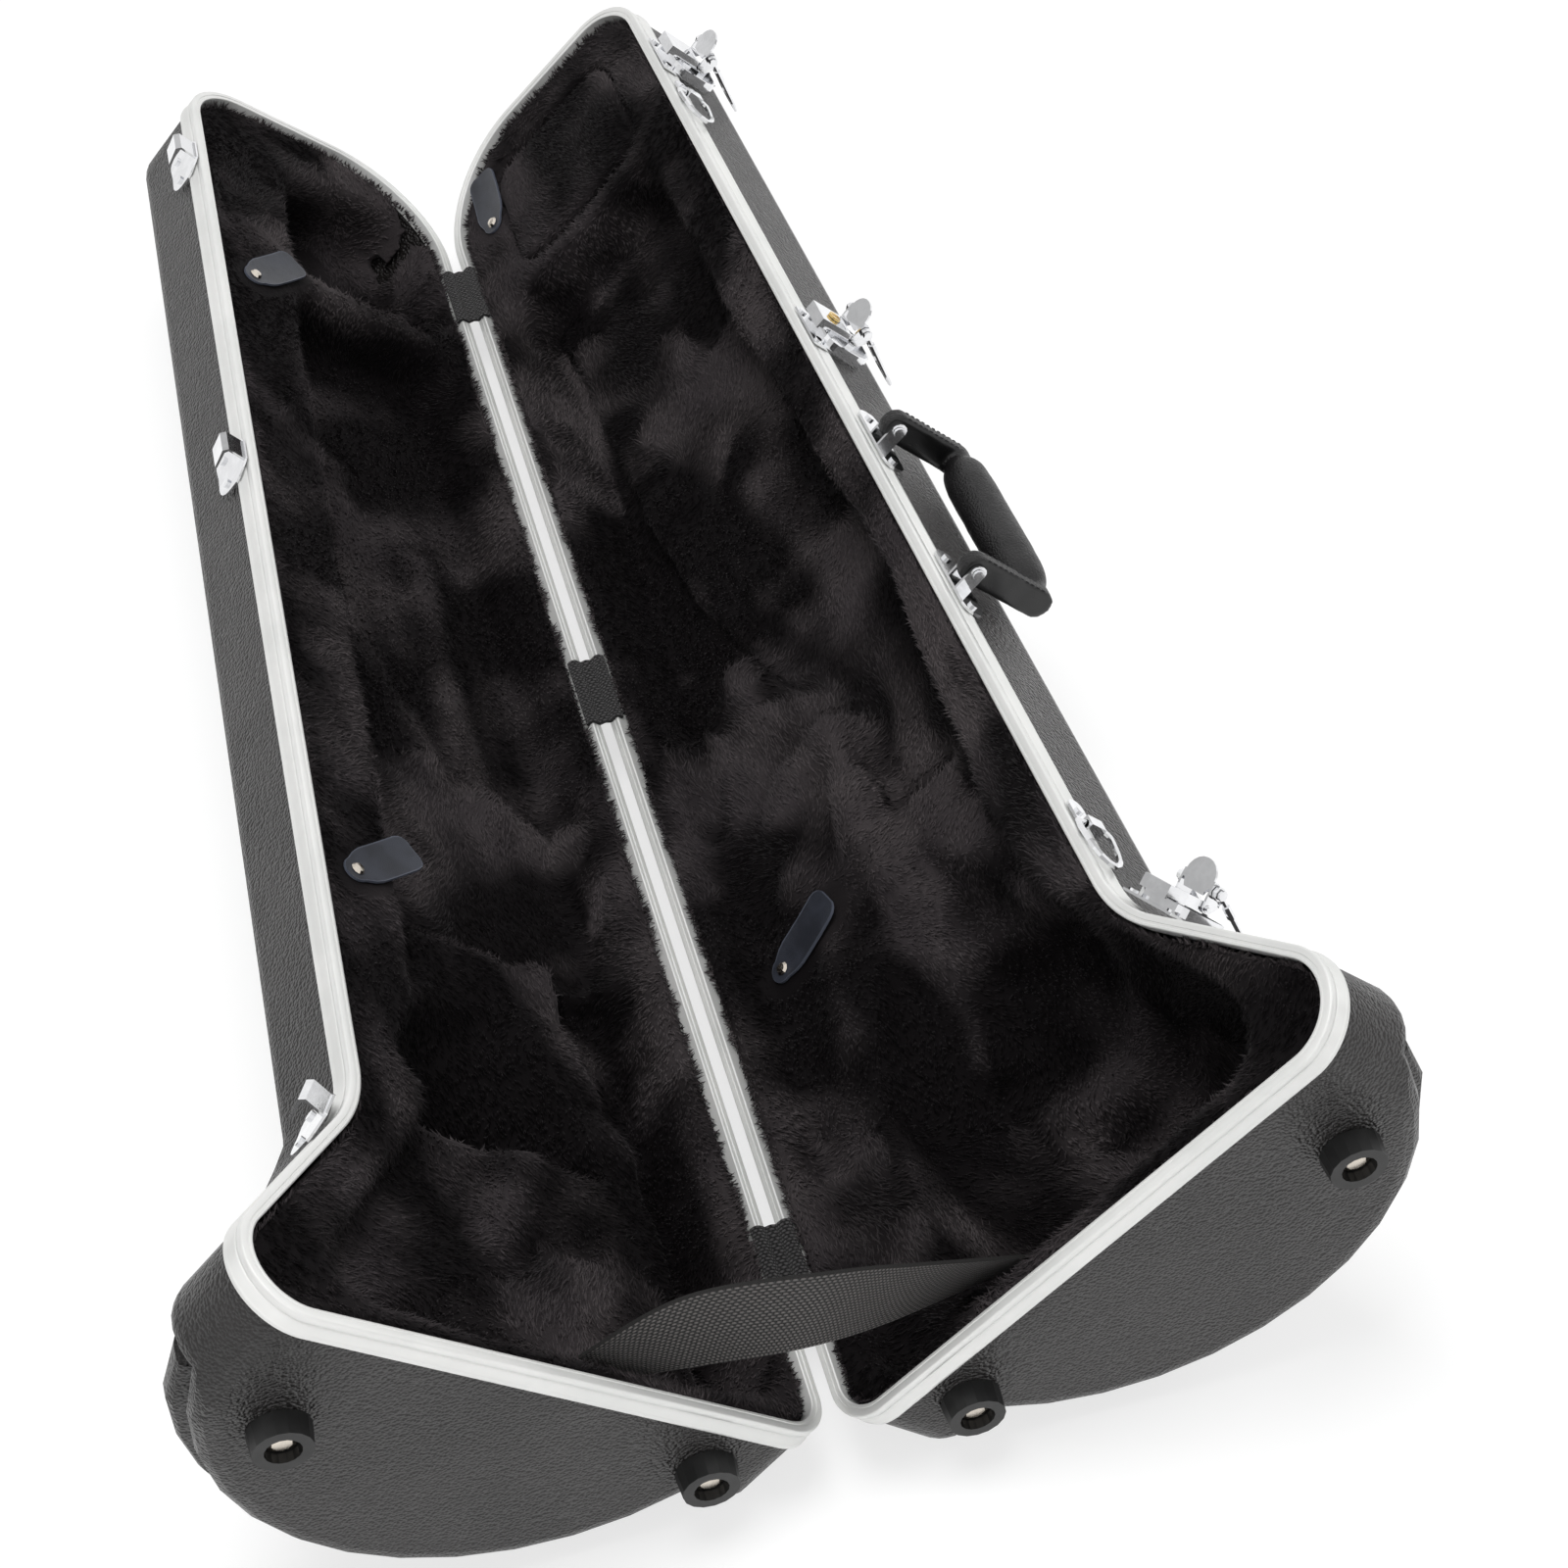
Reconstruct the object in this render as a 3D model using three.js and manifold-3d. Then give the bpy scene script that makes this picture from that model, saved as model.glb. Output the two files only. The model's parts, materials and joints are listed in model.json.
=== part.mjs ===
// Moulded trombone case in two hinged halves, standing open on its hinge side.
// Millimetres. X runs along the hinge from the bell end to the narrow end, +Y is the left half, +Z is up.
// Each half is drawn in its own frame: x along the hinge, y out from the hinge across the rim,
// z as the depth away from the rim plane. The left half is the mirror image of the right in z.
import * as THREE from 'three';
import { mergeVertices } from 'three/addons/utils/BufferGeometryUtils.js';
import Module from 'manifold-3d';

const wasm = await Module();
wasm.setup();

// Fits
const CLEARANCE = 0.3;
const CUT_OVERRUN = 5;
const TINY_RADIUS = 0.4;
const SOFT_TURN = THREE.MathUtils.degToRad(14);
const OUTLINE_STEP = THREE.MathUtils.degToRad(15);

// Case outline in the rim plane
const CASE_LENGTH = 945;
const BELL_WIDTH = 341;
const SHOULDER_WIDTH = 230.4;
const NARROW_WIDTH = 177.9;
const SHOULDER_RUN = 125.5;
const BELL_RAKE = 4.3;
const NARROW_RAKE = 4.6;
const HINGE_OFFSET = 3.1;
const HEEL_RADIUS = 24;
const NARROW_HEEL_RADIUS = 70;
const NARROW_FRONT_RADIUS = 42;
const SHOULDER_RADIUS = 62;
const BELL_FRONT_RADIUS = 30;
const HALF_OPENING = THREE.MathUtils.degToRad(46.57);

// Rim extrusion
const RIM_DEPTH = 12.1;
const RIM_SHEET = 1.2;
const RIM_LIP_DEPTH = 8;
const RIM_FACE_GAP = 0.15;
const RIM_GROOVE_DEPTH = 0.6;
const RIM_GROOVE_PLACE = 4.4;
const RIM_GROOVE_WIDTH = 1.4;
const RIM_RIDGE_PLACE = 9.6;

// Moulded shell
const WALL = 3;
const SHELL_INSET = RIM_SHEET + CLEARANCE;
const TRAY_DEPTH = 59.5;
const BACK_RADIUS = 9;
const DOME_RADIUS = 139;
const DOME_CENTRE = 169;
const DOME_BASE_DEPTH = 5;
const DOME_LENGTH = 262;
const DOME_TAIL_RADIUS = 55;
const DOME_TAIL_SHIFT = 46;
const DOME_EDGE_RADIUS = 11;
const RIB_FROM = 20;
const RIB_WIDTH = 18;
const RIB_HEIGHT = 7;
const RIB_START = THREE.MathUtils.degToRad(26);
const RIB_END = THREE.MathUtils.degToRad(142);

// Padded lining
const LINING_TOP = 7;
const LINING_EDGE = 5;
const LINING_SIDE_GAP = 1.5;
const LINING_ROLL = 5;
const SHELF_DEPTH = 28;
const BED_DEPTH = 44;
const SLOT_DEPTH = 52;
const SLOT_RADIUS = 3;
const SLOT_ROLL = 0.5;
const BOWL_PADDING = 26;
const BELL_WALL_SHARE = 0.022;
const HOLLOW_RADIUS = 16;
const PAD_HEIGHT = 12;
const PAD_GAP = 2;

// Rubber feet
const FOOT_RADIUS = 14;
const FOOT_TIP_RADIUS = 13;
const FOOT_HEIGHT = 11;
const FOOT_BORE_RADIUS = 8;
const FOOT_FLOOR = 4;
const SCREW_SHANK_RADIUS = 3;
const SCREW_HEAD_HEIGHT = 3;
const FOOT_PLACES = [['right', 251, 68.5], ['right', 48, 37], ['left', 251, 68.5], ['left', 48, 37]];

// Webbing
const WEBBING_THICKNESS = 1.6;
const HINGE_WEBBING_LENGTH = 48;
const HINGE_WEBBING_SHARES = [0.854, 0.4836, 0.0741];
const STRAP_THICKNESS = 1.8;

// The stay strap's two edges from the left half to the right, as shares of the bell width: across,
// up from the hinge, and the sway away from the bell-end wall
const STRAP_UPPER_SHARES = [
  [0.306, 0.243, 0], [0.16, 0.307, 0.003], [-0.03, 0.277, 0.003],
  [-0.132, 0.248, 0.003], [-0.225, 0.219, 0.003], [-0.367, 0.18, 0],
];
const STRAP_LOWER_SHARES = [
  [0.237, 0.173, 0], [0.128, 0.149, 0.003], [0.018, 0.132, 0.003],
  [-0.088, 0.121, 0.015], [-0.235, 0.104, 0.05], [-0.302, 0.18, 0],
];

// Closing hardware
const LATCH_SHEET = 1.2;
const LATCH_BASE_WIDTH = 34;
const LATCH_BASE_DEPTH = 41;
const LATCH_FLANGE = 7;
const LATCH_RIM_HEIGHT = 4.6;
const LATCH_BOX_WIDTH = 17.7;
const LATCH_BOX_START = 0.8;
const LATCH_BOX_LENGTH = 20.6;
const LATCH_FRONT_HEIGHT = 6.3;
const LATCH_PIVOT_HEIGHT = 10.1;
const LATCH_PIVOT_DEPTH = 25.3;
const LATCH_PIVOT_RADIUS = 1;
const LATCH_PIVOT_END = 2.5;
const LATCH_LEG_SHARES = [0.4, 0.62];
const LOCK_RADIUS = 3.6;
const LOCK_DEPTH = 12;
const PADDLE_FOOT_WIDTH = 12.4;
const PADDLE_FOOT_HEIGHT = 14.6;
const PADDLE_DEPTH = 22.4;
const PADDLE_RADIUS = 9.5;
const PADDLE_TOP = 30.4;
const CHEEK_TOP = 22.3;
const CHEEK_DEPTH = 31.6;
const BAIL_WIRE = 1.2;
const BAIL_SPAN = 26.2;
const BAIL_LEG = 40;
const BAIL_LEAN = THREE.MathUtils.degToRad(26.5);
const BAIL_SLEEVE_SHARES = [0.2, 0.38];
const KNOB_HEIGHT = 18.3;
const KNOB_DEPTH = 26.3;
const AXLE_RADIUS = 1.5;
const CATCH_WIDTH = 33;
const CATCH_REACH = 26;
const HOOK_WIDTH = 15;
const HOOK_HEIGHT = 12.5;

// Two latches on the straight front wall, and one that bridges the shoulder's bend
const SHOULDER_LATCH_SHIFT = 10.5;
const SHOULDER_LATCH_TURN = THREE.MathUtils.degToRad(24.2);
const LATCH_PLACES = [
  { u: 0.9085 * CASE_LENGTH, turn: 0 },
  { u: 0.6085 * CASE_LENGTH, turn: 0 },
  { u: SHOULDER_RUN - SHOULDER_LATCH_SHIFT, turn: SHOULDER_LATCH_TURN },
];

// Carrying handle
const HANDLE_PLACES = [0.5058 * CASE_LENGTH, 0.381 * CASE_LENGTH];
const HANDLE_PIVOT_HEIGHT = 13;
const HANDLE_PIVOT_DEPTH = 13;
const HANDLE_REACH = 45;
const HANDLE_LEG_THICKNESS = 8;
const HANDLE_LEG_WIDTH = 16;
const HANDLE_GRIP_RADIUS = 11.5;
const HANDLE_END_SHARE = 0.6;
const HANDLE_WRAP = 0.6;
const BRACKET_LENGTH = 50;
const BRACKET_WIDTH = 14;

// Strap rings
const RING_SHOULDER_GAP = 51.5;
const RING_PLACES = [0.857 * CASE_LENGTH, SHOULDER_RUN + RING_SHOULDER_GAP];
const RING_WIRE = 1.5;
const RING_LENGTH = 26;
const RING_WIDTH = 20;

// Swivel tabs
const TAB_LENGTH = 43;
const TAB_WIDTH = 21;
const TAB_THICKNESS = 1.5;
const TAB_RIVET_RADIUS = 3.6;
const TAB_PLACES = [
  { side: 'right', u: 0.928 * CASE_LENGTH, v: 33, depth: LINING_TOP, angle: 6 },
  { side: 'right', u: 0.2783 * CASE_LENGTH, v: 37, depth: SHELF_DEPTH, angle: 72 },
  { side: 'left', u: 0.8042 * CASE_LENGTH, v: 162, depth: LINING_TOP, angle: -48 },
  { side: 'left', u: 0.2963 * CASE_LENGTH, v: 195, depth: LINING_TOP, angle: -56 },
];

// Solids

function closedGeometry(positions, indices) {
  let volume = 0;
  const corner = (index) => new THREE.Vector3().fromArray(positions, index * 3);
  for (let i = 0; i < indices.length; i += 3) {
    const a = corner(indices[i]);
    volume += a.dot(corner(indices[i + 1]).cross(corner(indices[i + 2])));
  }
  if (volume < 0) {
    for (let i = 0; i < indices.length; i += 3) {
      [indices[i + 1], indices[i + 2]] = [indices[i + 2], indices[i + 1]];
    }
  }
  const geometry = new THREE.BufferGeometry();
  geometry.setAttribute('position', new THREE.Float32BufferAttribute(positions, 3));
  geometry.setIndex(indices);
  return geometry;
}

function solid(geometry) {
  const bare = geometry.clone();
  bare.deleteAttribute('normal');
  bare.deleteAttribute('uv');
  const merged = mergeVertices(bare);
  return new wasm.Manifold(new wasm.Mesh({
    numProp: 3,
    vertProperties: new Float32Array(merged.attributes.position.array),
    triVerts: new Uint32Array(merged.index.array),
  }));
}

function geometryOf(manifold) {
  const mesh = manifold.getMesh();
  const positions = [];
  for (let i = 0; i < mesh.vertProperties.length; i += mesh.numProp) {
    positions.push(mesh.vertProperties[i], mesh.vertProperties[i + 1], mesh.vertProperties[i + 2]);
  }
  return closedGeometry(positions, Array.from(mesh.triVerts));
}

function joined(...geometries) {
  return geometryOf(geometries.map(solid).reduce((sum, next) => sum.add(next)));
}

function cut(body, ...tools) {
  return geometryOf(tools.map(solid).reduce((rest, tool) => rest.subtract(tool), solid(body)));
}

function common(a, b) {
  return geometryOf(solid(a).intersect(solid(b)));
}

function placed(geometry, matrix) {
  const moved = geometry.clone().applyMatrix4(matrix);
  return closedGeometry(Array.from(moved.attributes.position.array), indexList(moved));
}

function indexList(geometry) {
  const bare = geometry.index ? geometry : mergeVertices(geometry);
  return Array.from(bare.index.array);
}

function shifted(geometry, x, y, z) {
  return geometry.clone().translate(x, y, z);
}

function mirrored(geometry) {
  const bare = mergeVertices(stripped(geometry));
  return placed(bare, new THREE.Matrix4().makeScale(1, 1, -1));
}

function stripped(geometry) {
  const bare = geometry.clone();
  bare.deleteAttribute('normal');
  bare.deleteAttribute('uv');
  return bare;
}

// A closed body through rings of equal counts, each drawn flat and set in space by place(ring, point)
function lofted(rings, place) {
  const count = rings[0].length;
  const positions = [];
  rings.forEach((ring, k) => ring.forEach((point) => positions.push(...place(k, point).toArray())));
  const indices = [];
  for (let k = 0; k + 1 < rings.length; k += 1) {
    for (let i = 0; i < count; i += 1) {
      const j = (i + 1) % count;
      const low = k * count;
      const high = low + count;
      indices.push(low + i, low + j, high + j, low + i, high + j, high + i);
    }
  }
  const last = (rings.length - 1) * count;
  const clockwise = THREE.ShapeUtils.isClockWise(rings[0]);
  const cap = (ring, first, reverse) => {
    for (const [a, b, c] of THREE.ShapeUtils.triangulateShape(ring, [])) {
      indices.push(first + a, first + (reverse ? c : b), first + (reverse ? b : c));
    }
  };
  cap(rings[0], 0, !clockwise);
  cap(rings[rings.length - 1], last, clockwise);
  return closedGeometry(positions, indices);
}

// An endless rail: a closed profile of [inset, depth] carried round an outline that can be inset
function railed(outlineAt, profile) {
  const rings = profile.map(([inset]) => outlineAt(inset));
  const count = rings[0].length;
  const positions = [];
  rings.forEach((ring, k) => ring.forEach((point) => positions.push(point.x, point.y, profile[k][1])));
  const indices = [];
  for (let k = 0; k < rings.length; k += 1) {
    const next = (k + 1) % rings.length;
    for (let i = 0; i < count; i += 1) {
      const j = (i + 1) % count;
      indices.push(k * count + i, k * count + j, next * count + j);
      indices.push(k * count + i, next * count + j, next * count + i);
    }
  }
  return closedGeometry(positions, indices);
}

// A body whose outline is inset by level: levels are [inset, depth]
function stacked(outlineAt, levels) {
  const rings = levels.map(([inset]) => outlineAt(inset));
  return lofted(rings, (k, point) => new THREE.Vector3(point.x, point.y, levels[k][1]));
}

// Corners in order round the outline, moved in by inset and rounded with arcs of arcSteps, or by their turn
function roundedOutline(corners, radii, inset = 0, arcSteps = 0) {
  const count = corners.length;
  const points = [];
  const directionFrom = (i) => {
    const a = corners[i % count];
    const b = corners[(i + 1) % count];
    return new THREE.Vector2(b.x - a.x, b.y - a.y).normalize();
  };
  for (let i = 0; i < count; i += 1) {
    const before = directionFrom(i + count - 1);
    const after = directionFrom(i);
    const turn = Math.atan2(before.cross(after), before.dot(after));
    const inward = new THREE.Vector2(-before.y - after.y, before.x + after.x).normalize();
    const corner = corners[i].clone().addScaledVector(inward, inset / Math.cos(turn / 2));
    if (Math.abs(turn) < SOFT_TURN) {
      points.push(corner);
      continue;
    }
    const rounding = turn > 0 ? radii[i] - inset : radii[i] + inset;
    const radius = Math.max(rounding, TINY_RADIUS);
    const tangent = radius * Math.tan(Math.abs(turn) / 2);
    const start = corner.clone().addScaledVector(before, -tangent);
    const side = turn > 0 ? 1 : -1;
    const normal = new THREE.Vector2(-before.y, before.x).multiplyScalar(side);
    const centre = start.clone().addScaledVector(normal, radius);
    const steps = arcSteps || Math.ceil(Math.abs(turn) / OUTLINE_STEP);
    for (let k = 0; k <= steps; k += 1) {
      const arm = start.clone().sub(centre).rotateAround(new THREE.Vector2(), turn * k / steps);
      points.push(centre.clone().add(arm));
    }
  }
  return points;
}

function spots(pairs) {
  return pairs.map(([x, y]) => new THREE.Vector2(x, y));
}

function box(fromX, toX, fromY, toY, fromZ, toZ) {
  const geometry = new THREE.BoxGeometry(toX - fromX, toY - fromY, toZ - fromZ);
  return stripped(geometry.translate((fromX + toX) / 2, (fromY + toY) / 2, (fromZ + toZ) / 2));
}

function circle(radius, sides) {
  return spots(Array.from({ length: sides }, (_, i) => {
    const angle = 2 * Math.PI * i / sides;
    return [radius * Math.cos(angle), radius * Math.sin(angle)];
  }));
}

// A round bar along X, Y or Z between two places on that axis
function bar(axis, radius, from, to, sides = 16) {
  const geometry = stripped(new THREE.CylinderGeometry(radius, radius, to - from, sides));
  geometry.translate(0, (from + to) / 2, 0);
  if (axis === 'x') {
    geometry.rotateZ(-Math.PI / 2);
  }
  if (axis === 'z') {
    geometry.rotateX(Math.PI / 2);
  }
  return mergeVertices(geometry);
}

// A sheet lying on a wall: outline points are [along, depth], thickness is outward in y
function wallSheet(points, from, to) {
  const rings = [points, points];
  return lofted(rings, (k, point) => new THREE.Vector3(point.x, k === 0 ? from : to, point.y));
}

// A sheet standing across the wall's length: outline points are [outward, depth], thickness along x
function crossSheet(points, from, to) {
  const rings = [points, points];
  return lofted(rings, (k, point) => new THREE.Vector3(k === 0 ? from : to, point.x, point.y));
}

function wire(points, radius, sides = 8, steps = 24, closed = false) {
  const curve = new THREE.CatmullRomCurve3(points, closed, 'catmullrom', closed ? 0.5 : 0);
  const circle = new THREE.Shape();
  circle.absarc(0, 0, radius, 0, Math.PI * 2);
  const options = { extrudePath: curve, steps, bevelEnabled: false, curveSegments: sides / 2 };
  return mergeVertices(stripped(new THREE.ExtrudeGeometry(circle, options)));
}

// Outline of a half

const outlineCorners = spots([
  [0, HINGE_OFFSET],
  [CASE_LENGTH, HINGE_OFFSET],
  [CASE_LENGTH - NARROW_RAKE, HINGE_OFFSET + NARROW_WIDTH],
  [SHOULDER_RUN, HINGE_OFFSET + SHOULDER_WIDTH],
  [-BELL_RAKE, HINGE_OFFSET + BELL_WIDTH],
]);
const outlineRadii = [
  HEEL_RADIUS, NARROW_HEEL_RADIUS, NARROW_FRONT_RADIUS, SHOULDER_RADIUS, BELL_FRONT_RADIUS,
];
const caseOutline = (inset) => roundedOutline(outlineCorners, outlineRadii, inset);

const FRONT_SLOPE = (SHOULDER_WIDTH - NARROW_WIDTH) / (CASE_LENGTH - NARROW_RAKE - SHOULDER_RUN);
const FRONT_ANGLE = -Math.atan(FRONT_SLOPE);

function frontWidth(u) {
  if (u >= SHOULDER_RUN) {
    return SHOULDER_WIDTH - (u - SHOULDER_RUN) * FRONT_SLOPE;
  }
  const share = (SHOULDER_RUN - u) / (SHOULDER_RUN + BELL_RAKE);
  return SHOULDER_WIDTH + (BELL_WIDTH - SHOULDER_WIDTH) * share;
}

// Shares of the case length and of the local width, as a corner of a hollow
function hollowCorner([lengthShare, widthShare]) {
  const u = lengthShare * CASE_LENGTH;
  return new THREE.Vector2(u, HINGE_OFFSET + widthShare * frontWidth(u));
}

// Moulded body of one half, moved in by side on its walls and by back on its floor and dome
function trayBody(side, back, top) {
  const levels = [[SHELL_INSET + side, top]];
  const edge = BACK_RADIUS - back;
  const floor = TRAY_DEPTH - back;
  for (let k = 0; k <= 3; k += 1) {
    const angle = Math.PI / 2 * k / 3;
    levels.push([SHELL_INSET + side + edge * (1 - Math.cos(angle)), floor - edge + edge * Math.sin(angle)]);
  }
  return stacked(caseOutline, levels);
}

function domeRadiusAt(share) {
  return DOME_TAIL_RADIUS + (DOME_RADIUS - DOME_TAIL_RADIUS) * Math.cos(share * Math.PI / 2) ** 1.2;
}

const DOME_STATION_SHARES = [0.1, 0.24, 0.4, 0.56, 0.72, 0.87, 1];

function domeBody(inset, sides = 16, endInset = inset) {
  const stations = [];
  const edge = DOME_EDGE_RADIUS;
  for (let k = 0; k <= 3; k += 1) {
    const angle = Math.PI / 2 * k / 3;
    const radius = DOME_RADIUS - edge * (1 - Math.sin(angle));
    stations.push({ u: edge * (1 - Math.cos(angle)), radius, share: 0 });
  }
  for (const share of DOME_STATION_SHARES) {
    stations.push({ u: edge + share * (DOME_LENGTH - edge), radius: domeRadiusAt(share), share });
  }
  const rings = stations.map(({ radius, share }) => {
    const middle = DOME_CENTRE - DOME_TAIL_SHIFT * Math.sin(share * Math.PI / 2);
    const ring = [];
    for (let i = 0; i <= sides; i += 1) {
      const angle = Math.PI * i / sides;
      const arm = new THREE.Vector2(radius - inset, 0).rotateAround(new THREE.Vector2(), angle);
      ring.push(new THREE.Vector2(middle + arm.x, DOME_BASE_DEPTH + arm.y));
    }
    return ring;
  });
  return lofted(rings, (k, point) => {
    const rake = BELL_RAKE * (point.x - HINGE_OFFSET) / BELL_WIDTH;
    const u = Math.max(stations[k].u, endInset + k * TINY_RADIUS) + SHELL_INSET - rake;
    return new THREE.Vector3(u, point.x, point.y);
  });
}

function outlinePrism(inset, from, to) {
  return stacked(caseOutline, [[inset, from], [inset, to]]);
}

function mouldedBody(side, back, top) {
  const deepest = DOME_BASE_DEPTH + DOME_RADIUS + CUT_OVERRUN;
  const dome = common(domeBody(back), outlinePrism(SHELL_INSET + side, top, deepest));
  return joined(trayBody(side, back, top), dome);
}

function ribBody() {
  const section = [
    [0, -WALL], [RIB_WIDTH, -WALL], [RIB_WIDTH * 0.9, RIB_HEIGHT * 0.7],
    [RIB_WIDTH * 0.7, RIB_HEIGHT], [RIB_WIDTH * 0.3, RIB_HEIGHT], [RIB_WIDTH * 0.1, RIB_HEIGHT * 0.7],
  ];
  const steps = 11;
  const rings = [];
  const angles = [];
  for (let k = 0; k <= steps; k += 1) {
    const endShare = k === 0 || k === steps ? 0.45 : 1;
    rings.push(section.map(([x, y]) => new THREE.Vector2(x, y > 0 ? y * endShare : y)));
    angles.push(RIB_START + (RIB_END - RIB_START) * k / steps);
  }
  return lofted(rings, (k, point) => {
    const reach = DOME_RADIUS + point.y;
    const across = DOME_CENTRE + reach * Math.cos(angles[k]);
    const rake = BELL_RAKE * (across - HINGE_OFFSET) / BELL_WIDTH;
    const depth = DOME_BASE_DEPTH + reach * Math.sin(angles[k]);
    return new THREE.Vector3(RIB_FROM + point.x - rake, across, depth);
  });
}

function shellGeometry() {
  const top = RIM_FACE_GAP + RIM_SHEET + CLEARANCE;
  const outside = joined(mouldedBody(0, 0, top), ribBody());
  return cut(outside, mouldedBody(WALL, WALL, top - CUT_OVERRUN));
}

function rimGeometry() {
  const lipInset = SHELL_INSET + WALL + CLEARANCE;
  const innerInset = lipInset + RIM_SHEET;
  const groove = RIM_GROOVE_WIDTH / 2;
  const ridge = RIM_RIDGE_PLACE;
  const face = RIM_FACE_GAP;
  return railed(caseOutline, [
    [0, face], [0, RIM_GROOVE_PLACE - groove], [RIM_GROOVE_DEPTH, RIM_GROOVE_PLACE],
    [0, RIM_GROOVE_PLACE + groove], [0, ridge], [-RIM_GROOVE_DEPTH, ridge + groove],
    [-RIM_GROOVE_DEPTH, RIM_DEPTH], [RIM_SHEET, RIM_DEPTH], [RIM_SHEET, face + RIM_SHEET],
    [lipInset, face + RIM_SHEET], [lipInset, RIM_LIP_DEPTH], [innerInset, RIM_LIP_DEPTH], [innerInset, face],
  ]);
}

// Linings

function hollow(shares, floor, radius = HOLLOW_RADIUS, flare = LINING_ROLL, roll = LINING_ROLL) {
  const corners = shares.map(hollowCorner);
  const radii = corners.map(() => radius);
  const outlineAt = (inset) => roundedOutline(corners, radii, inset, 2);
  return stacked(outlineAt, [
    [-flare, LINING_TOP - CUT_OVERRUN],
    [-flare, LINING_TOP],
    [-flare * 0.3, LINING_TOP + roll * 0.3],
    [0, LINING_TOP + roll],
    [0, floor - roll],
    [roll, floor],
  ]);
}

function liningBlank() {
  const side = RIM_SHEET + WALL + CLEARANCE + LINING_SIDE_GAP;
  const inset = SHELL_INSET + side;
  const back = WALL + CLEARANCE;
  const body = mouldedBody(side, back, LINING_TOP);
  const crown = stacked(caseOutline, [
    [inset + LINING_EDGE, LINING_TOP - CUT_OVERRUN],
    [inset + LINING_EDGE, LINING_TOP],
    [inset + LINING_EDGE * 0.35, LINING_TOP + LINING_EDGE * 0.25],
    [inset, LINING_TOP + LINING_EDGE],
    [inset, DOME_BASE_DEPTH + DOME_RADIUS],
  ]);
  return common(body, crown);
}

function bowl(fromShare, toShare, lowShare, highShare) {
  const corners = [[fromShare, lowShare], [toShare, lowShare], [toShare, highShare], [fromShare, highShare]];
  const region = hollow(corners, DOME_BASE_DEPTH + DOME_RADIUS, HOLLOW_RADIUS * 2, LINING_ROLL);
  return common(domeBody(BOWL_PADDING, 10, BELL_WALL_SHARE * CASE_LENGTH - SHELL_INSET), region);
}

const RIGHT_HOLLOW_SHARES = [
  [BELL_WALL_SHARE, 0.06], [0.85, 0.07], [0.85, 0.78], [0.68, 0.8], [0.43, 0.875],
  [0.345, 0.85], [0.25, 0.81], [0.17, 0.85], [0.06, 0.86], [BELL_WALL_SHARE, 0.85],
];
const RIGHT_BED_SHARES = [
  [0.31, 0.52], [0.4, 0.5], [0.46, 0.38], [0.56, 0.24], [0.66, 0.16], [0.85, 0.09], [0.85, 0.78], [0.68, 0.8],
  [0.43, 0.875], [0.345, 0.85], [0.31, 0.82],
];
const RIGHT_SLOT_SHARES = [
  [0.465, 0.08], [0.84, 0.08], [0.84, 0.13], [0.66, 0.18], [0.56, 0.26], [0.48, 0.36],
];
const RIGHT_PAD_SHARES = [[0.868, 0.2], [0.968, 0.2], [0.968, 0.8], [0.868, 0.8]];
const LEFT_HOLLOW_SHARES = [
  [BELL_WALL_SHARE, 0.06], [0.815, 0.07], [0.815, 0.67], [0.6, 0.71], [0.41, 0.74],
  [0.29, 0.755], [0.2, 0.76], [0.15, 0.8], [0.06, 0.85], [BELL_WALL_SHARE, 0.84],
];
const LEFT_BED_SHARES = [
  [0.3, 0.08], [0.815, 0.09], [0.815, 0.66], [0.6, 0.7], [0.41, 0.73], [0.3, 0.74],
];
const LEFT_POCKET_SHARES = [[0.837, 0.075], [0.965, 0.075], [0.965, 0.35], [0.94, 0.62], [0.837, 0.64]];
const LEFT_CHANNEL_SHARES = [[0.04, 0.05], [0.3, 0.07], [0.3, 0.3], [0.2, 0.2], [0.13, 0.15], [0.04, 0.14]];

function rightLiningGeometry() {
  const recess = hollow(RIGHT_PAD_SHARES, LINING_TOP + PAD_HEIGHT, HOLLOW_RADIUS, 0);
  return cut(liningBlank(),
    hollow(RIGHT_HOLLOW_SHARES, SHELF_DEPTH),
    hollow(RIGHT_BED_SHARES, BED_DEPTH, HOLLOW_RADIUS, 0),
    hollow(RIGHT_SLOT_SHARES, SLOT_DEPTH, SLOT_RADIUS, 0, SLOT_ROLL),
    bowl(BELL_WALL_SHARE, 0.29, 0.22, 0.86),
    recess);
}

function leftLiningGeometry() {
  return cut(liningBlank(),
    hollow(LEFT_HOLLOW_SHARES, SHELF_DEPTH),
    hollow(LEFT_BED_SHARES, BED_DEPTH, HOLLOW_RADIUS, 0),
    hollow(LEFT_CHANNEL_SHARES, SLOT_DEPTH, SLOT_RADIUS, 0, SLOT_ROLL),
    bowl(0.16, 0.32, 0.16, 0.86),
    hollow(LEFT_POCKET_SHARES, SLOT_DEPTH));
}

function padGeometry() {
  const corners = RIGHT_PAD_SHARES.map(hollowCorner);
  const radii = corners.map(() => HOLLOW_RADIUS);
  const outlineAt = (inset) => roundedOutline(corners, radii, inset, 4);
  const edge = PAD_HEIGHT / 3;
  const crown = PAD_HEIGHT / 4;
  const floor = LINING_TOP + PAD_HEIGHT - CLEARANCE;
  return stacked(outlineAt, [
    [LINING_ROLL + PAD_GAP, floor],
    [PAD_GAP, floor - LINING_ROLL],
    [PAD_GAP, LINING_TOP + edge],
    [PAD_GAP + edge / 2, LINING_TOP + crown / 2],
    [PAD_GAP + edge * 2, LINING_TOP],
  ]);
}

// Webbing

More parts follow.
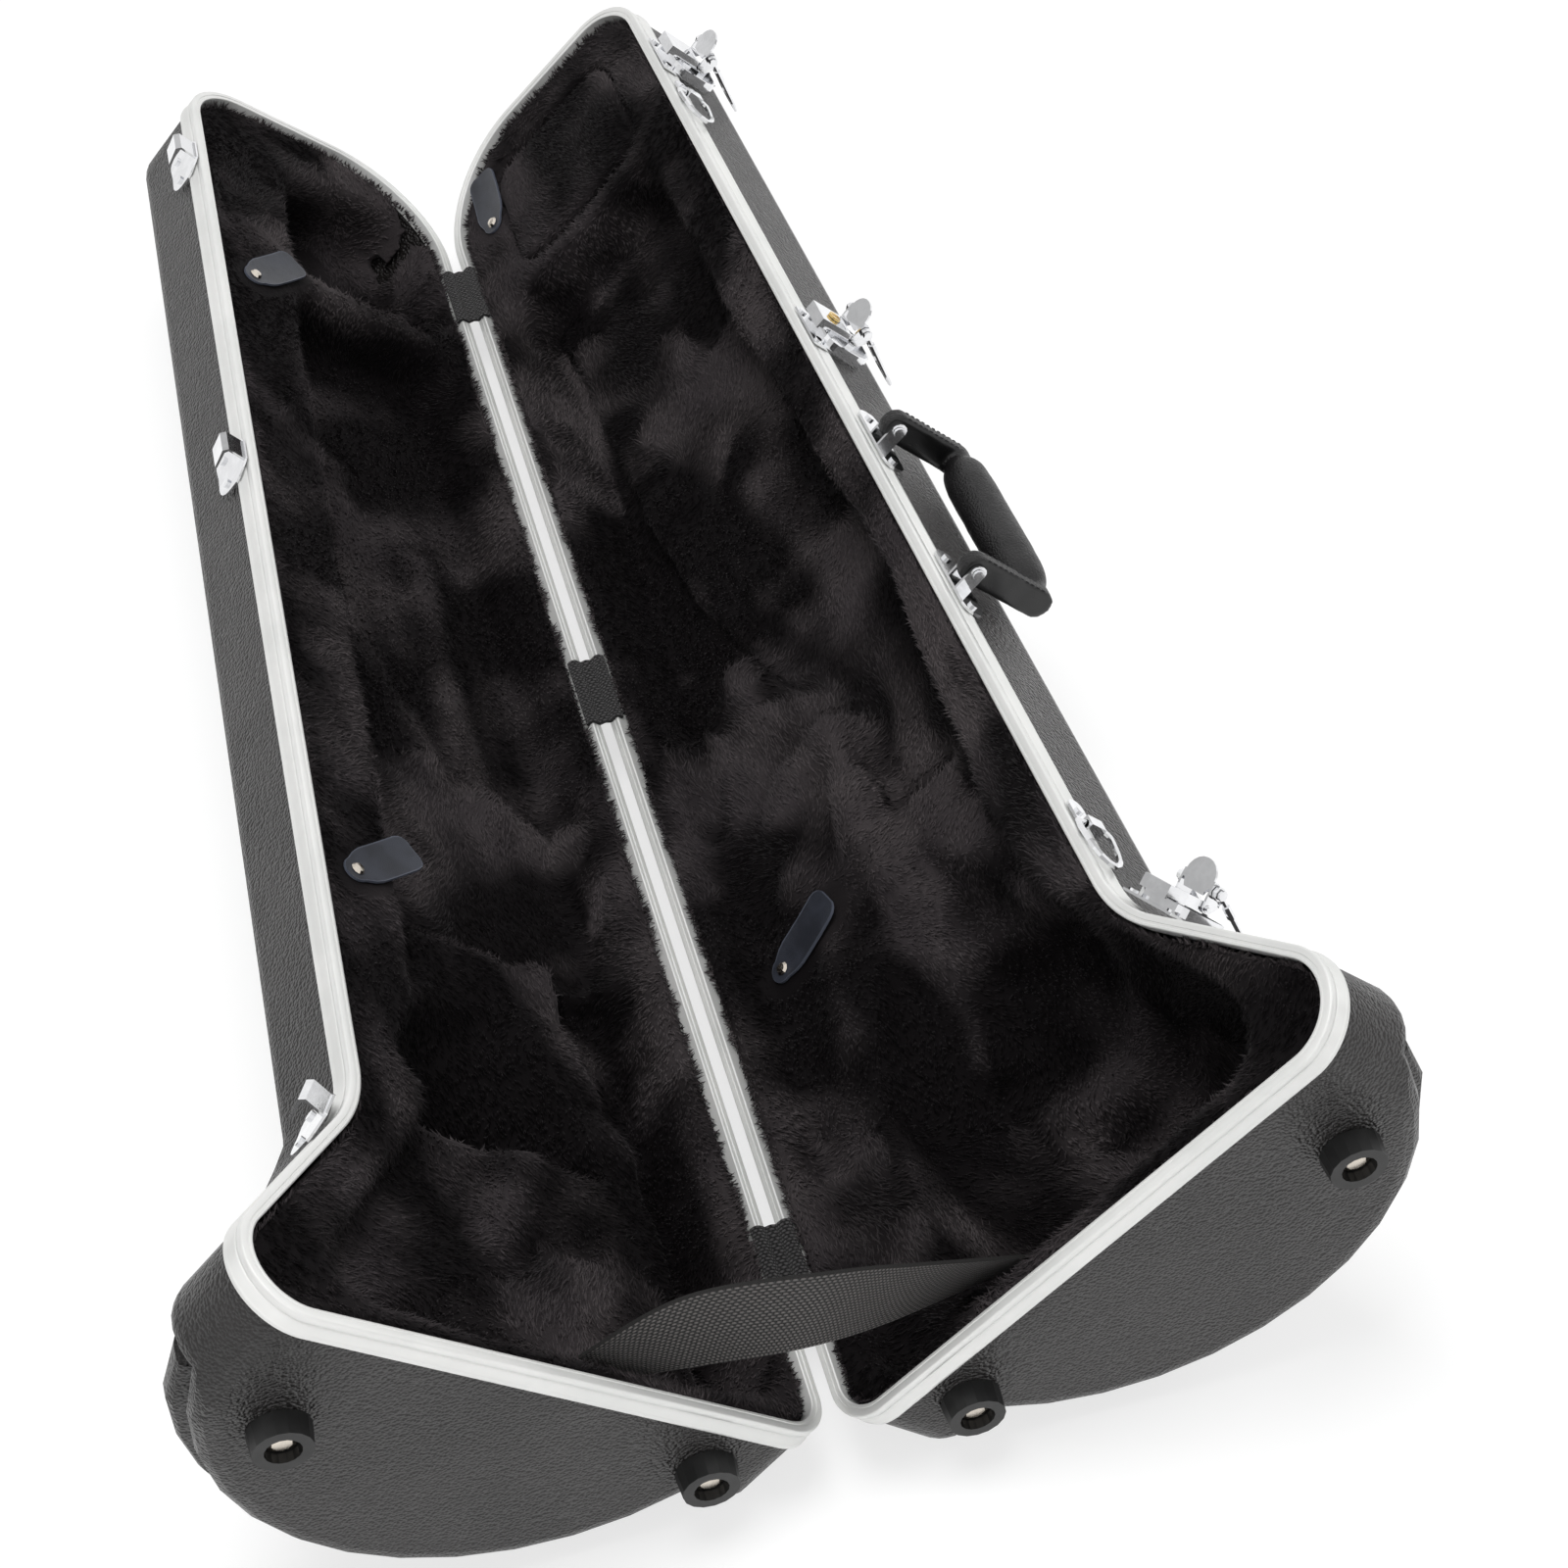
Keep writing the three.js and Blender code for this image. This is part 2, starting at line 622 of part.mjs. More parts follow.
// Strip of webbing over both rims, drawn across the hinge in the part's own Y and Z
function hingeWebbingGeometry(length) {
  const lip = HINGE_OFFSET + SHELL_INSET + WALL + CLEARANCE + RIM_SHEET;
  const over = RIM_FACE_GAP - CLEARANCE;
  const inner = lip + CLEARANCE;
  const outer = inner + WEBBING_THICKNESS;
  const tuck = RIM_FACE_GAP + RIM_SHEET * 2;
  const crossing = HINGE_OFFSET * 2;
  const near = [[inner, tuck], [inner, over], [crossing, over]];
  const far = [
    [outer, tuck], [outer, over - WEBBING_THICKNESS * 0.4], [inner, over - WEBBING_THICKNESS],
    [crossing, over - WEBBING_THICKNESS],
  ];
  const toWorld = ([v, d], side) => new THREE.Vector2(
    side * (v * Math.sin(HALF_OPENING) + d * Math.cos(HALF_OPENING)),
    v * Math.cos(HALF_OPENING) - d * Math.sin(HALF_OPENING),
  );
  const outline = [
    ...near.map((point) => toWorld(point, 1)),
    ...near.slice().reverse().map((point) => toWorld(point, -1)),
    ...far.map((point) => toWorld(point, -1)),
    ...far.slice().reverse().map((point) => toWorld(point, 1)),
  ];
  return lofted([outline, outline], (k, point) => new THREE.Vector3(k === 0 ? 0 : length, point.x, point.y));
}

// Stay strap between the two bell-end walls: two edges, each from the left half to the right
function stayStrapGeometry(upper, lower) {
  const steps = 16;
  const top = new THREE.CatmullRomCurve3(upper);
  const bottom = new THREE.CatmullRomCurve3(lower);
  const sections = [];
  for (let k = 0; k <= steps; k += 1) {
    const a = top.getPoint(k / steps);
    const b = bottom.getPoint(k / steps);
    const along = top.getTangent(k / steps).add(bottom.getTangent(k / steps)).normalize();
    const face = along.clone().cross(b.clone().sub(a)).normalize().multiplyScalar(STRAP_THICKNESS / 2);
    sections.push([a.clone().add(face), b.clone().add(face), b.clone().sub(face), a.clone().sub(face)]);
  }
  const unit = spots([[0, 0], [1, 0], [1, 1], [0, 1]]);
  const rings = sections.map(() => unit);
  return lofted(rings, (k, point) => sections[k][unit.indexOf(point)].clone());
}

// Feet

function footGeometry() {
  const profile = spots([
    [SCREW_SHANK_RADIUS + CLEARANCE, 0], [FOOT_RADIUS, 0], [FOOT_TIP_RADIUS, FOOT_HEIGHT],
    [FOOT_BORE_RADIUS, FOOT_HEIGHT], [FOOT_BORE_RADIUS, FOOT_FLOOR],
    [SCREW_SHANK_RADIUS + CLEARANCE, FOOT_FLOOR], [SCREW_SHANK_RADIUS + CLEARANCE, 0],
  ]);
  return turned(profile, 16);
}

function turned(profile, sides) {
  return mergeVertices(stripped(new THREE.LatheGeometry(profile, sides)));
}

function footScrewGeometry() {
  const head = FOOT_BORE_RADIUS - 2 * CLEARANCE;
  const seat = FOOT_FLOOR + CLEARANCE;
  const profile = spots([
    [0, 0], [SCREW_SHANK_RADIUS, 0], [SCREW_SHANK_RADIUS, seat], [head, seat],
    [head, seat + SCREW_HEAD_HEIGHT / 2], [head * 0.6, seat + SCREW_HEAD_HEIGHT],
    [0, seat + SCREW_HEAD_HEIGHT],
  ]);
  return turned(profile, 10);
}

// Latches, in the wall's frame: x along the wall, y outward from the rim's face, z as depth

function rectangle(fromX, toX, fromY, toY, radii, steps = 3) {
  return roundedOutline(spots([[fromX, fromY], [toX, fromY], [toX, toY], [fromX, toY]]), radii, 0, steps);
}

const SEAT = RIM_GROOVE_DEPTH + CLEARANCE;
const PLATE_START = RIM_FACE_GAP * 4;

function latchBaseGeometry() {
  const half = LATCH_BASE_WIDTH / 2;
  const top = PLATE_START;
  const tip = half * 0.7;
  const depth = LATCH_BASE_DEPTH;
  const outside = rectangle(-half, half, top, depth, [TINY_RADIUS, TINY_RADIUS, tip, tip]);
  const sheet = wallSheet(outside, SEAT, SEAT + LATCH_SHEET);
  const rimOutside = rectangle(-half, half, top + LATCH_FLANGE, depth, [tip / 2, tip / 2, tip, tip]);
  const inner = half - LATCH_SHEET;
  const rimInside = rectangle(-inner, inner, top + LATCH_FLANGE + LATCH_SHEET, depth - LATCH_SHEET,
    [tip / 2, tip / 2, tip - LATCH_SHEET, tip - LATCH_SHEET]);
  const pan = cut(wallSheet(rimOutside, SEAT, SEAT + LATCH_SHEET + LATCH_RIM_HEIGHT),
    wallSheet(rimInside, SEAT + LATCH_SHEET, SEAT + LATCH_RIM_HEIGHT + CUT_OVERRUN));
  const rivets = [-1, 1].map((side) => shifted(
    bar('y', AXLE_RADIUS * 1.6, SEAT + LATCH_SHEET / 2, SEAT + LATCH_SHEET * 2, 10),
    side * (half - AXLE_RADIUS * 2.4), 0, top + LATCH_FLANGE / 2));
  return joined(sheet, pan, ...rivets);
}

const BOX_FLOOR = SEAT + LATCH_SHEET + CLEARANCE;
const BOX_TOP = LATCH_PIVOT_HEIGHT + LATCH_PIVOT_END;

// Shallow housing over the pan on two side legs, bored for the paddle's pivot
function latchBoxGeometry() {
  const half = LATCH_BOX_WIDTH / 2;
  const low = LATCH_PIVOT_HEIGHT - LATCH_PIVOT_END;
  const start = LATCH_BOX_START;
  const round = LATCH_PIVOT_END * 0.95;
  const cheek = rectangle(low, BOX_TOP, start, LATCH_PIVOT_DEPTH + LATCH_PIVOT_END,
    [TINY_RADIUS, TINY_RADIUS, round, round], 3);
  const [legFrom, legTo] = LATCH_LEG_SHARES.map((share) => start + share * LATCH_BOX_LENGTH);
  const sides = [-half, half - LATCH_SHEET].flatMap((from) => [
    crossSheet(cheek, from, from + LATCH_SHEET),
    box(from, from + LATCH_SHEET, BOX_FLOOR, low + LATCH_SHEET, legFrom, legTo),
  ]);
  const lid = box(-half, half, BOX_TOP - LATCH_SHEET, BOX_TOP, start, start + LATCH_BOX_LENGTH);
  const front = box(-half, half, BOX_TOP - LATCH_FRONT_HEIGHT, BOX_TOP, start, start + LATCH_SHEET);
  const bore = bar('x', LATCH_PIVOT_RADIUS + CLEARANCE, -half - CUT_OVERRUN, half + CUT_OVERRUN, 8);
  return cut(joined(lid, front, ...sides), shifted(bore, 0, LATCH_PIVOT_HEIGHT, LATCH_PIVOT_DEPTH));
}

function lockCylinderGeometry() {
  const from = BOX_TOP + CLEARANCE;
  const barrel = bar('y', LOCK_RADIUS, from, from + LATCH_SHEET, 16);
  const wide = LOCK_RADIUS / 4;
  const long = LOCK_RADIUS * 0.7;
  const slot = box(-wide, wide, BOX_TOP + LATCH_SHEET, BOX_TOP + CUT_OVERRUN, -long, long);
  return shifted(cut(barrel, slot), 0, 0, LOCK_DEPTH);
}

// Thumb paddle folded from a sheet: its cheeks carry the bail's axle and the pivot pins
function paddleGeometry() {
  const inner = LATCH_BOX_WIDTH / 2 + CLEARANCE;
  const outer = inner + LATCH_SHEET;
  const foot = PADDLE_FOOT_WIDTH / 2;
  const wide = PADDLE_RADIUS;
  const middle = PADDLE_TOP - wide;
  const crown = wide * 0.95;
  const outline = roundedOutline(spots([
    [-foot, PADDLE_FOOT_HEIGHT], [foot, PADDLE_FOOT_HEIGHT], [wide, middle], [wide, PADDLE_TOP],
    [-wide, PADDLE_TOP], [-wide, middle],
  ]), [TINY_RADIUS, TINY_RADIUS, TINY_RADIUS, crown, crown, TINY_RADIUS], 0, 5);
  const plate = lofted([outline, outline], (k, point) => new THREE.Vector3(
    point.x, point.y, PADDLE_DEPTH + (k === 0 ? 0 : LATCH_SHEET)));
  const bridge = box(-outer, outer, KNOB_HEIGHT, CHEEK_TOP, PADDLE_DEPTH, PADDLE_DEPTH + LATCH_SHEET);
  const end = LATCH_PIVOT_END * 0.88;
  const cheek = roundedOutline(spots([
    [LATCH_PIVOT_HEIGHT - end, LATCH_PIVOT_DEPTH - end], [PADDLE_FOOT_HEIGHT, PADDLE_DEPTH],
    [CHEEK_TOP, PADDLE_DEPTH], [CHEEK_TOP, KNOB_DEPTH - AXLE_RADIUS], [KNOB_HEIGHT, CHEEK_DEPTH],
    [LATCH_PIVOT_HEIGHT + end, CHEEK_DEPTH], [LATCH_PIVOT_HEIGHT - end, LATCH_PIVOT_DEPTH + end],
  ]), [end * 0.9, TINY_RADIUS, AXLE_RADIUS / 2, AXLE_RADIUS / 2, AXLE_RADIUS, AXLE_RADIUS, end * 0.9], 0, 2);
  const reach = BAIL_SPAN / 2 + CLEARANCE;
  const tip = reach + LATCH_SHEET;
  const axle = shifted(bar('x', AXLE_RADIUS, -tip, tip, 8), 0, KNOB_HEIGHT, KNOB_DEPTH);
  const sides = [-1, 1].flatMap((side) => {
    const span = (near, far) => (side > 0 ? [near, far] : [-far, -near]);
    const knob = bar('x', AXLE_RADIUS * 1.6, ...span(reach, tip + CLEARANCE), 8);
    const pinStart = inner - LATCH_SHEET - CLEARANCE;
    const pin = bar('x', LATCH_PIVOT_RADIUS, ...span(pinStart, outer + LATCH_SHEET), 8);
    const collar = LATCH_SHEET / 2;
    const head = bar('x', LATCH_PIVOT_RADIUS * 1.7, ...span(outer - collar, outer + collar), 8);
    const pivot = joined(pin, head);
    return [
      crossSheet(cheek, ...span(inner, outer)),
      shifted(knob, 0, KNOB_HEIGHT, KNOB_DEPTH),
      shifted(pivot, 0, LATCH_PIVOT_HEIGHT, LATCH_PIVOT_DEPTH),
    ];
  });
  return joined(plate, bridge, axle, ...sides);
}

// The bail hangs from the paddle's axle, leaning in towards the wall
function bailGeometry() {
  const half = BAIL_SPAN / 2 - BAIL_WIRE;
  const leg = new THREE.Vector2(-Math.sin(BAIL_LEAN), Math.cos(BAIL_LEAN)).multiplyScalar(BAIL_LEG);
  const at = (x, share) => new THREE.Vector3(x, KNOB_HEIGHT + leg.x * share, KNOB_DEPTH + leg.y * share);
  const corner = BAIL_WIRE * 2 / BAIL_LEG;
  const start = (AXLE_RADIUS + CLEARANCE + BAIL_WIRE) / BAIL_LEG;
  const loop = wire([
    at(-half, start), at(-half, 0.5), at(-half, 1 - corner), at(-half + BAIL_WIRE, 1), at(0, 1),
    at(half - BAIL_WIRE, 1), at(half, 1 - corner), at(half, 0.5), at(half, start),
  ], BAIL_WIRE, 6, 16);
  const eye = AXLE_RADIUS + CLEARANCE + BAIL_WIRE * 1.2;
  const ends = [-half, half].flatMap((x) => {
    const from = x - BAIL_WIRE;
    const ring = cut(bar('x', eye, from, from + BAIL_WIRE * 2, 8),
      bar('x', AXLE_RADIUS + CLEARANCE, from - CUT_OVERRUN, from + CUT_OVERRUN, 8));
    const sleeve = wire(BAIL_SLEEVE_SHARES.map((share) => at(x, share)), BAIL_WIRE * 1.6, 6, 1);
    return [shifted(ring, 0, KNOB_HEIGHT, KNOB_DEPTH), sleeve];
  });
  return joined(loop, ...ends);
}

// Strike that the bail hooks over, on the left half
function catchGeometry() {
  const half = CATCH_WIDTH / 2;
  const top = PLATE_START;
  const lobe = CATCH_WIDTH / 4;
  const sheet = LATCH_SHEET;
  const plate = wallSheet(
    roundedOutline(spots([
      [-HOOK_WIDTH / 2, top], [HOOK_WIDTH / 2, top], [half, CATCH_REACH - lobe * 2], [half, CATCH_REACH],
      [0, CATCH_REACH - LATCH_SHEET], [-half, CATCH_REACH], [-half, CATCH_REACH - lobe * 2],
    ]), [sheet, sheet, lobe, lobe * 0.9, sheet, lobe * 0.9, lobe], 0, 4), SEAT, SEAT + LATCH_SHEET);
  const height = SEAT + HOOK_HEIGHT;
  const hook = crossSheet(spots([
    [SEAT, top + sheet], [height - sheet, top], [height + sheet, top + sheet * 2],
    [height - sheet, top + sheet * 11], [height - sheet * 2, top + sheet * 11],
    [height - sheet / 2, top + sheet * 2.6], [height - sheet * 1.5, top + sheet], [SEAT, top + sheet * 2.2],
  ]), -HOOK_WIDTH / 2, HOOK_WIDTH / 2);
  const rivets = [-1, 1].map((side) => shifted(
    bar('y', AXLE_RADIUS * 1.7, SEAT + LATCH_SHEET / 2, SEAT + LATCH_SHEET * 2, 10),
    side * (half - lobe * 0.85), 0, CATCH_REACH - lobe * 0.9));
  return joined(plate, hook, ...rivets);
}

// Carrying handle

function handleGeometry() {
  const half = (HANDLE_PLACES[0] - HANDLE_PLACES[1]) / 2;
  const depth = HANDLE_PIVOT_DEPTH;
  const reach = depth + HANDLE_REACH;
  const bore = AXLE_RADIUS + CLEARANCE;
  const wide = HANDLE_LEG_WIDTH / 2;
  const round = wide * 0.95;
  const height = HANDLE_PIVOT_HEIGHT;
  const radii = [round, round, round, round];
  const outline = rectangle(height - wide, height + wide, depth - wide, reach + wide, radii, 5);
  const legs = [-half, half].map((x) => (
    crossSheet(outline, x - HANDLE_LEG_THICKNESS / 2, x + HANDLE_LEG_THICKNESS / 2)));
  const stations = [-1, -0.86, -0.8, -0.5, -0.2, 0.2, 0.5, 0.8, 0.86, 1];
  const rings = stations.map((share) => {
    const swell = HANDLE_END_SHARE + (1 - HANDLE_END_SHARE) * Math.cos(share * Math.PI / 2);
    const wrap = Math.abs(share) > 0.85 ? HANDLE_WRAP : 0;
    return circle(HANDLE_GRIP_RADIUS * swell + wrap, 12);
  });
  const grip = lofted(rings, (k, point) => new THREE.Vector3(
    stations[k] * half, height + point.x, reach + point.y));
  const hole = bar('x', bore, -half - HANDLE_LEG_THICKNESS, half + HANDLE_LEG_THICKNESS, 10);
  return cut(joined(grip, ...legs), shifted(hole, 0, height, depth));
}

function handleBracketGeometry() {
  const half = BRACKET_LENGTH / 2;
  const from = HANDLE_PIVOT_DEPTH - BRACKET_WIDTH / 2;
  const to = HANDLE_PIVOT_DEPTH + BRACKET_WIDTH / 2;
  const round = BRACKET_WIDTH * 0.45;
  const outline = rectangle(-half, half, from, to, [round, round, round, round]);
  const plate = wallSheet(outline, SEAT, SEAT + LATCH_SHEET * 1.3);
  const gap = HANDLE_LEG_THICKNESS / 2 + CLEARANCE;
  const earHalf = AXLE_RADIUS * 3;
  const ears = [-1, 1].map((side) => {
    const ear = rectangle(SEAT, HANDLE_PIVOT_HEIGHT + earHalf, HANDLE_PIVOT_DEPTH - earHalf,
      HANDLE_PIVOT_DEPTH + earHalf, [TINY_RADIUS, earHalf * 0.9, earHalf * 0.9, TINY_RADIUS]);
    const sheet = LATCH_SHEET * 1.2;
    return crossSheet(ear, side > 0 ? gap : -gap - sheet, side > 0 ? gap + sheet : -gap);
  });
  const rivets = [-1, 1].map((side) => shifted(
    bar('y', AXLE_RADIUS * 1.7, SEAT + LATCH_SHEET / 2, SEAT + LATCH_SHEET * 2.4, 10),
    side * (half - round), 0, HANDLE_PIVOT_DEPTH));
  const bore = bar('x', AXLE_RADIUS + CLEARANCE, -half, half, 10);
  return cut(joined(plate, ...ears, ...rivets), shifted(bore, 0, HANDLE_PIVOT_HEIGHT, HANDLE_PIVOT_DEPTH));
}

function handlePinGeometry() {
  const reach = HANDLE_LEG_THICKNESS / 2 + CLEARANCE + LATCH_SHEET * 1.2 + CLEARANCE;
  const shank = bar('x', AXLE_RADIUS, -reach - AXLE_RADIUS, reach + AXLE_RADIUS, 10);
  const heads = [-1, 1].map((side) => {
    const from = side > 0 ? reach : -reach - AXLE_RADIUS;
    return bar('x', AXLE_RADIUS * 1.9, from, from + AXLE_RADIUS, 10);
  });
  return shifted(joined(shank, ...heads), 0, HANDLE_PIVOT_HEIGHT, HANDLE_PIVOT_DEPTH);
}

// Strap rings: a riveted plate whose loop carries a D ring

const RING_LOOP_HEIGHT = SEAT + LATCH_SHEET + RING_WIRE + CLEARANCE * 2;
const RING_DEPTH = 8;

function ringPlateGeometry() {
  const long = RING_LENGTH / 2;
  const round = RING_DEPTH * 0.6;
  const from = RING_DEPTH - round;
  const to = RING_DEPTH + round;
  const corner = round * 0.9;
  const outline = rectangle(-long * 0.2, long * 1.6, from, to, [corner, corner, corner, corner]);
  const plate = wallSheet(outline, SEAT, SEAT + LATCH_SHEET);
  const rivet = bar('y', AXLE_RADIUS * 1.6, SEAT + LATCH_SHEET / 2, SEAT + LATCH_SHEET * 2, 10);
  const outer = RING_LOOP_HEIGHT + RING_WIRE + CLEARANCE + LATCH_SHEET;
  const saddleBlock = box(-RING_WIRE * 2.2, RING_WIRE * 2.2, SEAT, outer, from, from + round * 2);
  const tunnel = bar('z', RING_WIRE + CLEARANCE * 2, from - CUT_OVERRUN, to + CUT_OVERRUN, 10);
  const body = joined(plate, shifted(rivet, long, 0, RING_DEPTH), saddleBlock);
  return cut(body, shifted(tunnel, 0, RING_LOOP_HEIGHT, 0));
}

function ringGeometry() {
  const half = RING_WIDTH / 2;
  const y = RING_LOOP_HEIGHT;
  const at = (x, z) => new THREE.Vector3(x, y, RING_DEPTH + z);
  const near = -RING_LENGTH * 0.4;
  const far = -RING_LENGTH * 0.8;
  const points = [
    at(0, -half), at(0, 0), at(0, half), at(near, half), at(far, half * 0.7),
    at(-RING_LENGTH, 0), at(far, -half * 0.7), at(near, -half),
  ];
  return wire(points, RING_WIRE, 6, 18, true);
}

// Swivel tabs

function tabGeometry() {
  const half = TAB_WIDTH / 2;
  const root = half * 0.6;
  const outline = roundedOutline(spots([
    [-root, -root], [half, -half], [TAB_LENGTH, -half], [TAB_LENGTH, half], [half, half], [-root, root],
  ]), [root * 0.8, half, half * 0.95, half * 0.95, half, root * 0.8], 0, 3);
  const sheet = lofted([outline, outline], (k, { x, y }) => new THREE.Vector3(x, y, k * -TAB_THICKNESS));
  return cut(sheet, bar('z', AXLE_RADIUS + CLEARANCE, -CUT_OVERRUN, CUT_OVERRUN, 10));
}

function tabRivetGeometry() {
  const head = -TAB_THICKNESS - CLEARANCE;
  const profile = spots([[0, 0], [AXLE_RADIUS, 0], [AXLE_RADIUS, -head], [TAB_RIVET_RADIUS, -head],
    [TAB_RIVET_RADIUS * 0.7, -head + AXLE_RADIUS * 0.8], [0, -head + AXLE_RADIUS]]);
  return turned(profile, 10).rotateX(-Math.PI / 2);
}

// Assembly

const colours = {
  shell: { color: '#3a3a3d', roughness: 0.62, metalness: 0 },
  rim: { color: '#dcdde0', roughness: 0.32, metalness: 1 },
  plush: { color: '#17120f', roughness: 1, metalness: 0 },
  webbing: { color: '#1b1a1c', roughness: 0.85, metalness: 0 },
  rubber: { color: '#141415', roughness: 0.7, metalness: 0 },
  nickel: { color: '#cfc8bd', roughness: 0.3, metalness: 1 },
  chrome: { color: '#e4e6ea', roughness: 0.12, metalness: 1 },
  brass: { color: '#c79a4a', roughness: 0.3, metalness: 1 },
  leather: { color: '#1d1c1e', roughness: 0.5, metalness: 0 },
  vinyl: { color: '#23242c', roughness: 0.45, metalness: 0 },
};

const group = new THREE.Group();
const rightHalf = new THREE.Group();
const leftHalf = new THREE.Group();
rightHalf.rotation.x = Math.PI / 2 + HALF_OPENING;
leftHalf.rotation.x = Math.PI / 2 - HALF_OPENING;
group.add(rightHalf, leftHalf);

const halves = {
  right: { root: rightHalf, flip: 1 },
  left: { root: leftHalf, flip: -1 },
};

function addMesh(parent, name, geometry, look) {
  const mesh = new THREE.Mesh(geometry, new THREE.MeshStandardMaterial(colours[look]));
  mesh.name = name;
  parent.add(mesh);
  return mesh;
}

function addToHalf(side, name, geometry, look) {
  const { root, flip } = halves[side];
  return addMesh(root, name, flip < 0 ? mirrored(geometry) : geometry, look);
}

// How far a plate that reaches out on both sides of a place stands off the outline, for its ends to touch it
function plateRise(foot, along, outward, reach) {
  const local = caseOutline(0).map((point) => {
    const arm = point.clone().sub(foot);
    return new THREE.Vector2(arm.dot(along), arm.dot(outward));
  });
  const heights = [-reach, reach].flatMap((x) => local.map((a, i) => {
    const b = local[(i + 1) % local.length];
    const crosses = (a.x - x) * (b.x - x) < 0;
    return crosses ? a.y + (b.y - a.y) * (x - a.x) / (b.x - a.x) : -Infinity;
  }));
  return Math.max(...heights);
}

// A piece drawn in the front wall's frame, at a place along the case and turned to bridge a bend
function addToFront(side, name, geometry, look, u, turn = 0) {
  const mesh = addToHalf(side, name, geometry, look);
  const angle = FRONT_ANGLE - turn;
  const along = new THREE.Vector2(Math.cos(angle), Math.sin(angle));
  const outward = new THREE.Vector2(-along.y, along.x);
  const foot = new THREE.Vector2(u, HINGE_OFFSET + frontWidth(u));
  foot.addScaledVector(outward, turn > 0 ? plateRise(foot, along, outward, LATCH_BASE_WIDTH / 2) : 0);
  mesh.position.set(foot.x, foot.y, 0);
  mesh.rotation.z = angle;
  return mesh;
}

for (const side of ['right', 'left']) {
  addToHalf(side, `${side}_shell`, shellGeometry(), 'shell');
  addToHalf(side, `${side}_rim`, rimGeometry(), 'rim');
}
addToHalf('right', 'right_lining', rightLiningGeometry(), 'plush');
addToHalf('left', 'left_lining', leftLiningGeometry(), 'plush');
addToHalf('right', 'compartment_pad', padGeometry(), 'plush');

HINGE_WEBBING_SHARES.forEach((share, i) => {
  const webbing = hingeWebbingGeometry(HINGE_WEBBING_LENGTH);
  addMesh(group, `hinge_webbing_${i + 1}`, webbing, 'webbing').position.x = share * CASE_LENGTH;
});

const strapPlane = BELL_WALL_SHARE * CASE_LENGTH + CLEARANCE + STRAP_THICKNESS / 2;
const strapEdge = (shares) => shares.map(([across, up, sway]) => new THREE.Vector3(
  strapPlane + sway * BELL_WIDTH, across * BELL_WIDTH, up * BELL_WIDTH));
const stayStrap = stayStrapGeometry(strapEdge(STRAP_UPPER_SHARES), strapEdge(STRAP_LOWER_SHARES));
addMesh(group, 'stay_strap', stayStrap, 'webbing');

FOOT_PLACES.forEach(([side, v, d], i) => {
  const rake = BELL_RAKE * (v - HINGE_OFFSET) / BELL_WIDTH;
  const u = SHELL_INSET - CLEARANCE - rake;
  const pieces = [['foot', footGeometry(), 'rubber'], ['foot_screw', footScrewGeometry(), 'nickel']];
  pieces.forEach(([name, geometry, look]) => {
    const mesh = addToHalf(side, `${name}_${i + 1}`, geometry.rotateZ(Math.PI / 2), look);
    mesh.position.set(u, v, halves[side].flip * d);
  });
});

LATCH_PLACES.forEach(({ u, turn }, i) => {
  addToFront('left', `catch_${i + 1}`, catchGeometry(), 'chrome', u, turn);
  addToFront('right', `latch_${i + 1}_base`, latchBaseGeometry(), 'chrome', u, turn);
  addToFront('right', `latch_${i + 1}_box`, latchBoxGeometry(), 'chrome', u, turn);
  addToFront('right', `latch_${i + 1}_paddle`, paddleGeometry(), 'chrome', u, turn);
  addToFront('right', `latch_${i + 1}_bail`, bailGeometry(), 'chrome', u, turn);
});
addToFront('right', 'lock_cylinder', lockCylinderGeometry(), 'brass', LATCH_PLACES[1].u);

const handleMiddle = (HANDLE_PLACES[0] + HANDLE_PLACES[1]) / 2;
addToFront('right', 'handle', handleGeometry(), 'leather', handleMiddle);
HANDLE_PLACES.forEach((u, i) => {
  addToFront('right', `handle_bracket_${i + 1}`, handleBracketGeometry(), 'chrome', u);
  addToFront('right', `handle_pin_${i + 1}`, handlePinGeometry(), 'chrome', u);
});

RING_PLACES.forEach((u, i) => {
  addToFront('right', `ring_plate_${i + 1}`, ringPlateGeometry(), 'chrome', u);
  addToFront('right', `strap_ring_${i + 1}`, ringGeometry(), 'chrome', u);
});

TAB_PLACES.forEach(({ side, u, v, depth, angle }, i) => {
  const pieces = [['tab', tabGeometry(), 'vinyl'], ['tab_rivet', tabRivetGeometry(), 'nickel']];
  pieces.forEach(([name, geometry, look]) => {
    const mesh = addToHalf(side, `${name}_${i + 1}`, geometry, look);
    mesh.position.set(u, v, halves[side].flip * (depth - CLEARANCE));
    mesh.rotation.z = THREE.MathUtils.degToRad(angle);
  });
});

// The origin is under the middle of the case, on the surface that it rests on
group.updateMatrixWorld(true);
const bounds = new THREE.Box3().setFromObject(group, true);
const middle = bounds.getCenter(new THREE.Vector3());
group.position.set(-middle.x, -middle.y, -bounds.min.z);

export default group;
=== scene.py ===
import json
import math
import bpy
import numpy as np
from mathutils import Matrix, Vector, noise
from mathutils.bvhtree import BVHTree


